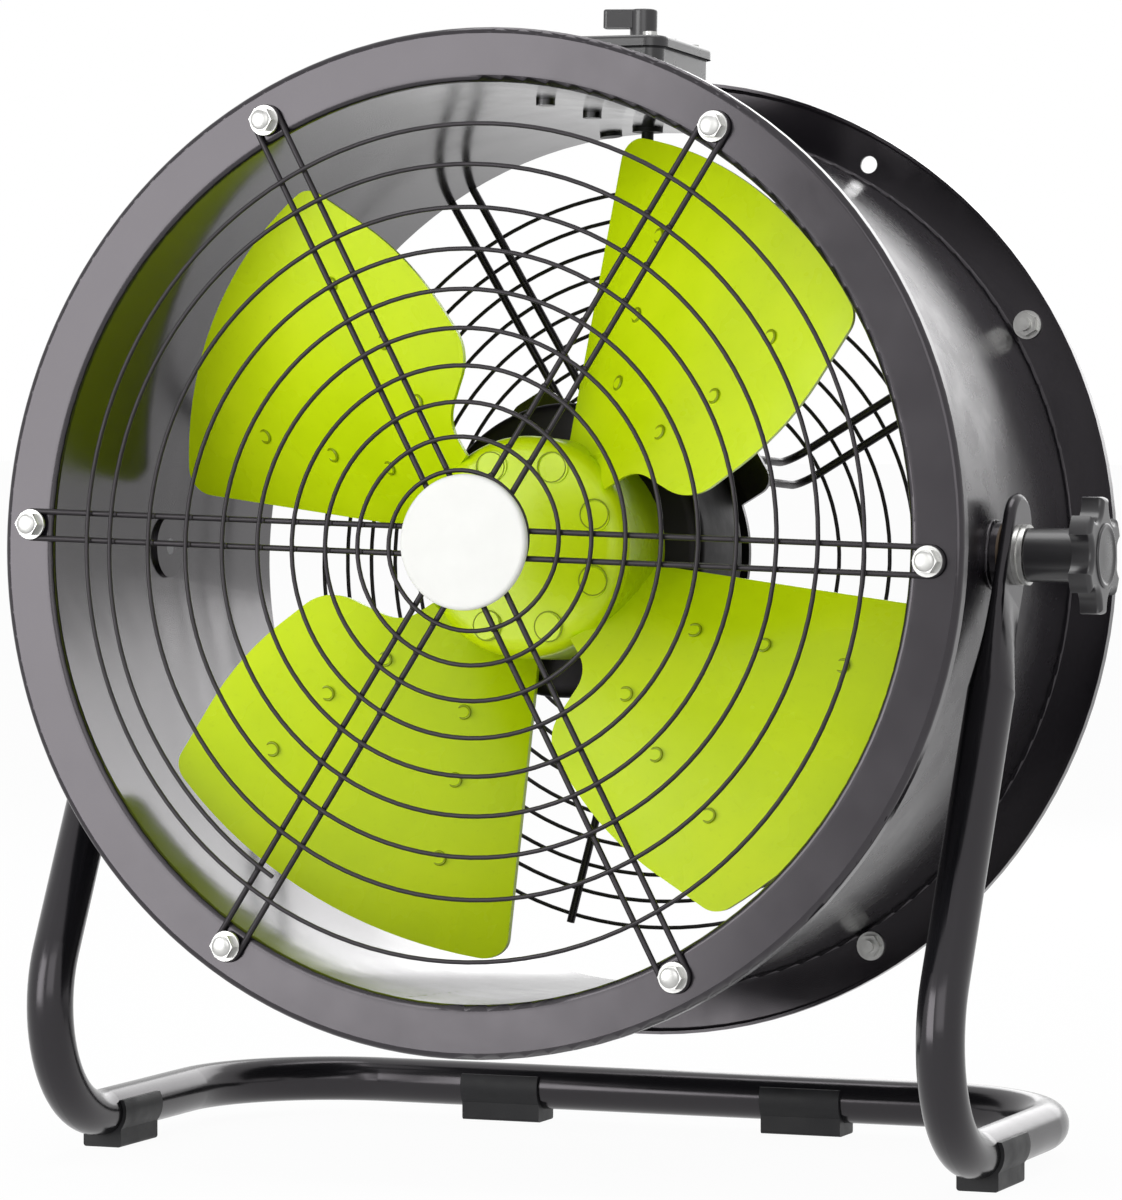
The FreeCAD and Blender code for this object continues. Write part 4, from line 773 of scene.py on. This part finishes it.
def drum_welds():
    """Fillet beads round both pivot bosses and the rolled barrel's lengthwise seam."""
    bead = {"Bead radius": 1.3 * MM, "Ripple height": 0.7 * MM, "Ripples per metre": 420.0}
    for side, name in ((1, "right"), (-1, "left")):
        ring = []
        for i in range(BOSS_WELD_POINTS):
            turn = 2.0 * math.pi * i / BOSS_WELD_POINTS
            z = BOSS_WELD * math.sin(turn)
            x = math.sqrt(SHELL_OUTSIDE ** 2 - z ** 2) + BOSS_WELD_PROUD
            ring.append(HEAD @ (Vector((side * x, BOSS_WELD * math.cos(turn), z)) * MM))
        weld_bead("boss_weld_" + name, ring, True, bead, PAINT, "fan_head")
    reach = [SEAM_FRONT + SEAM_LENGTH * i / (SEAM_POINTS - 1) for i in range(SEAM_POINTS)]
    seam = [HEAD @ polar(SHELL_OUTSIDE - SEAM_SUNK, SEAM_ANGLE, y) for y in reach]
    weld_bead("barrel_seam", seam, False, bead, PAINT, "fan_head")


def fastener_faces():
    """Crowned guard-bolt heads, and dark crosses on the lid screws that paint the shade in their cross
    recesses.
    """
    to_drum = HEAD.inverted()
    front = min((to_drum @ v.co).y for v in NODES["front_guard_bolts"].data.vertices) / MM
    rear = max((to_drum @ v.co).y for v in NODES["rear_guard_bolts"].data.vertices) / MM
    crowns = [(HEAD @ polar(BOLT_CIRCLE, angle, front), AHEAD) for angle, _ in wires(FRONT_SPOKES, 0.0, 0.0)]
    crowns += [(HEAD @ polar(BOLT_CIRCLE, angle, rear), BEHIND) for angle, _ in wires(ARMS, ARM_ANGLE, 0.0)]
    scatter("bolt_crowns", crowns, head_dome, {"Crown radius": 4.7 * MM}, ZINC, "fan_head")

    top = max((to_drum @ v.co).z for v in NODES["lid_screws"].data.vertices)
    recesses = []
    for x in (-LID_SCREW_X, LID_SCREW_X):
        for y in (BOX_MIDDLE - LID_SCREW_Y, BOX_MIDDLE + LID_SCREW_Y):
            recesses.append((HEAD @ Vector((x * MM, y * MM, top)), UPWARD))
    slot = {"Slot length": 4.4 * MM, "Slot width": 0.9 * MM, "Slot depth": 0.16 * MM}
    # The crosses are in the dark fitting plastic, which paints the shade inside each screw's recess.
    scatter("screw_recess_shades", recesses, cross_slot, slot, DARK_PLASTIC, "fan_head")


def raised_line(shape, angle, near, far, width, base):
    """A thin raised bar that points away from the dial's centre, between two distances from it."""
    turn = math.radians(angle)
    along = Vector((math.cos(turn), math.sin(turn), 0.0))
    across = Vector((-along.y, along.x, 0.0)) * (width / 2)
    up = Vector((0.0, 0.0, MARK_HEIGHT))
    foot = Vector((DIAL_X, BOX_MIDDLE, LID_TOP)) + Vector((0.0, 0.0, base))
    inner = foot + along * near
    outer = foot + along * far
    corners = [inner - across, outer - across, outer + across, inner + across]
    under = [shape.verts.new(HEAD @ (corner * MM)) for corner in corners]
    over = [shape.verts.new(HEAD @ ((corner + up) * MM)) for corner in corners]
    shape.faces.new(under)
    shape.faces.new(over)
    for i in range(4):
        k = (i + 1) % 4
        shape.faces.new((under[i], under[k], over[k], over[i]))


def dial_marks():
    """Plain ticks on the lid round the speed knob, and a line on its pointer."""
    ticks = [(DIAL_START + DIAL_STEP * i, 22.5, 26.0, 1.2, 0.0) for i in range(SPEEDS)]
    pointer = [(DIAL_START, 7.0, 17.0, 1.3, POINTER_TOP)]
    for name, body, lines in (("dial_ticks", "fan_head", ticks), ("pointer_line", "selector", pointer)):
        shape = bmesh.new()
        for values in lines:
            raised_line(shape, *values)
        bmesh.ops.recalc_face_normals(shape, faces=shape.faces)
        mesh = bpy.data.meshes.new(name)
        shape.to_mesh(mesh)
        shape.free()
        piece(name, mesh, body, MARKING)


def gland_ribs():
    """Grip ribs round each gland's dome nut."""
    places = []
    for x in GLAND_PLACES:
        for i in range(GLAND_RIBS):
            turn = 2.0 * math.pi * i / GLAND_RIBS
            across = GLAND_RIB_CIRCLE * math.cos(turn)
            up = GLAND_RIB_CIRCLE * math.sin(turn)
            places.append((HEAD @ (Vector((x + across, GLAND_Y, GLAND_Z + up)) * MM), BEHIND))
    rib = {"Rib radius": 0.55 * MM, "Rib length": 8.0 * MM}
    scatter("gland_ribs", places, grip_rib, rib, DARK_PLASTIC, "fan_head")


guard_welds()
impeller_marks()
knob_caps()
drum_welds()
fastener_faces()
dial_marks()
gland_ribs()
photograph_camera()
surround()
studio_floor()
studio_lamps()
bpy.context.scene.view_settings.view_transform = "Standard"
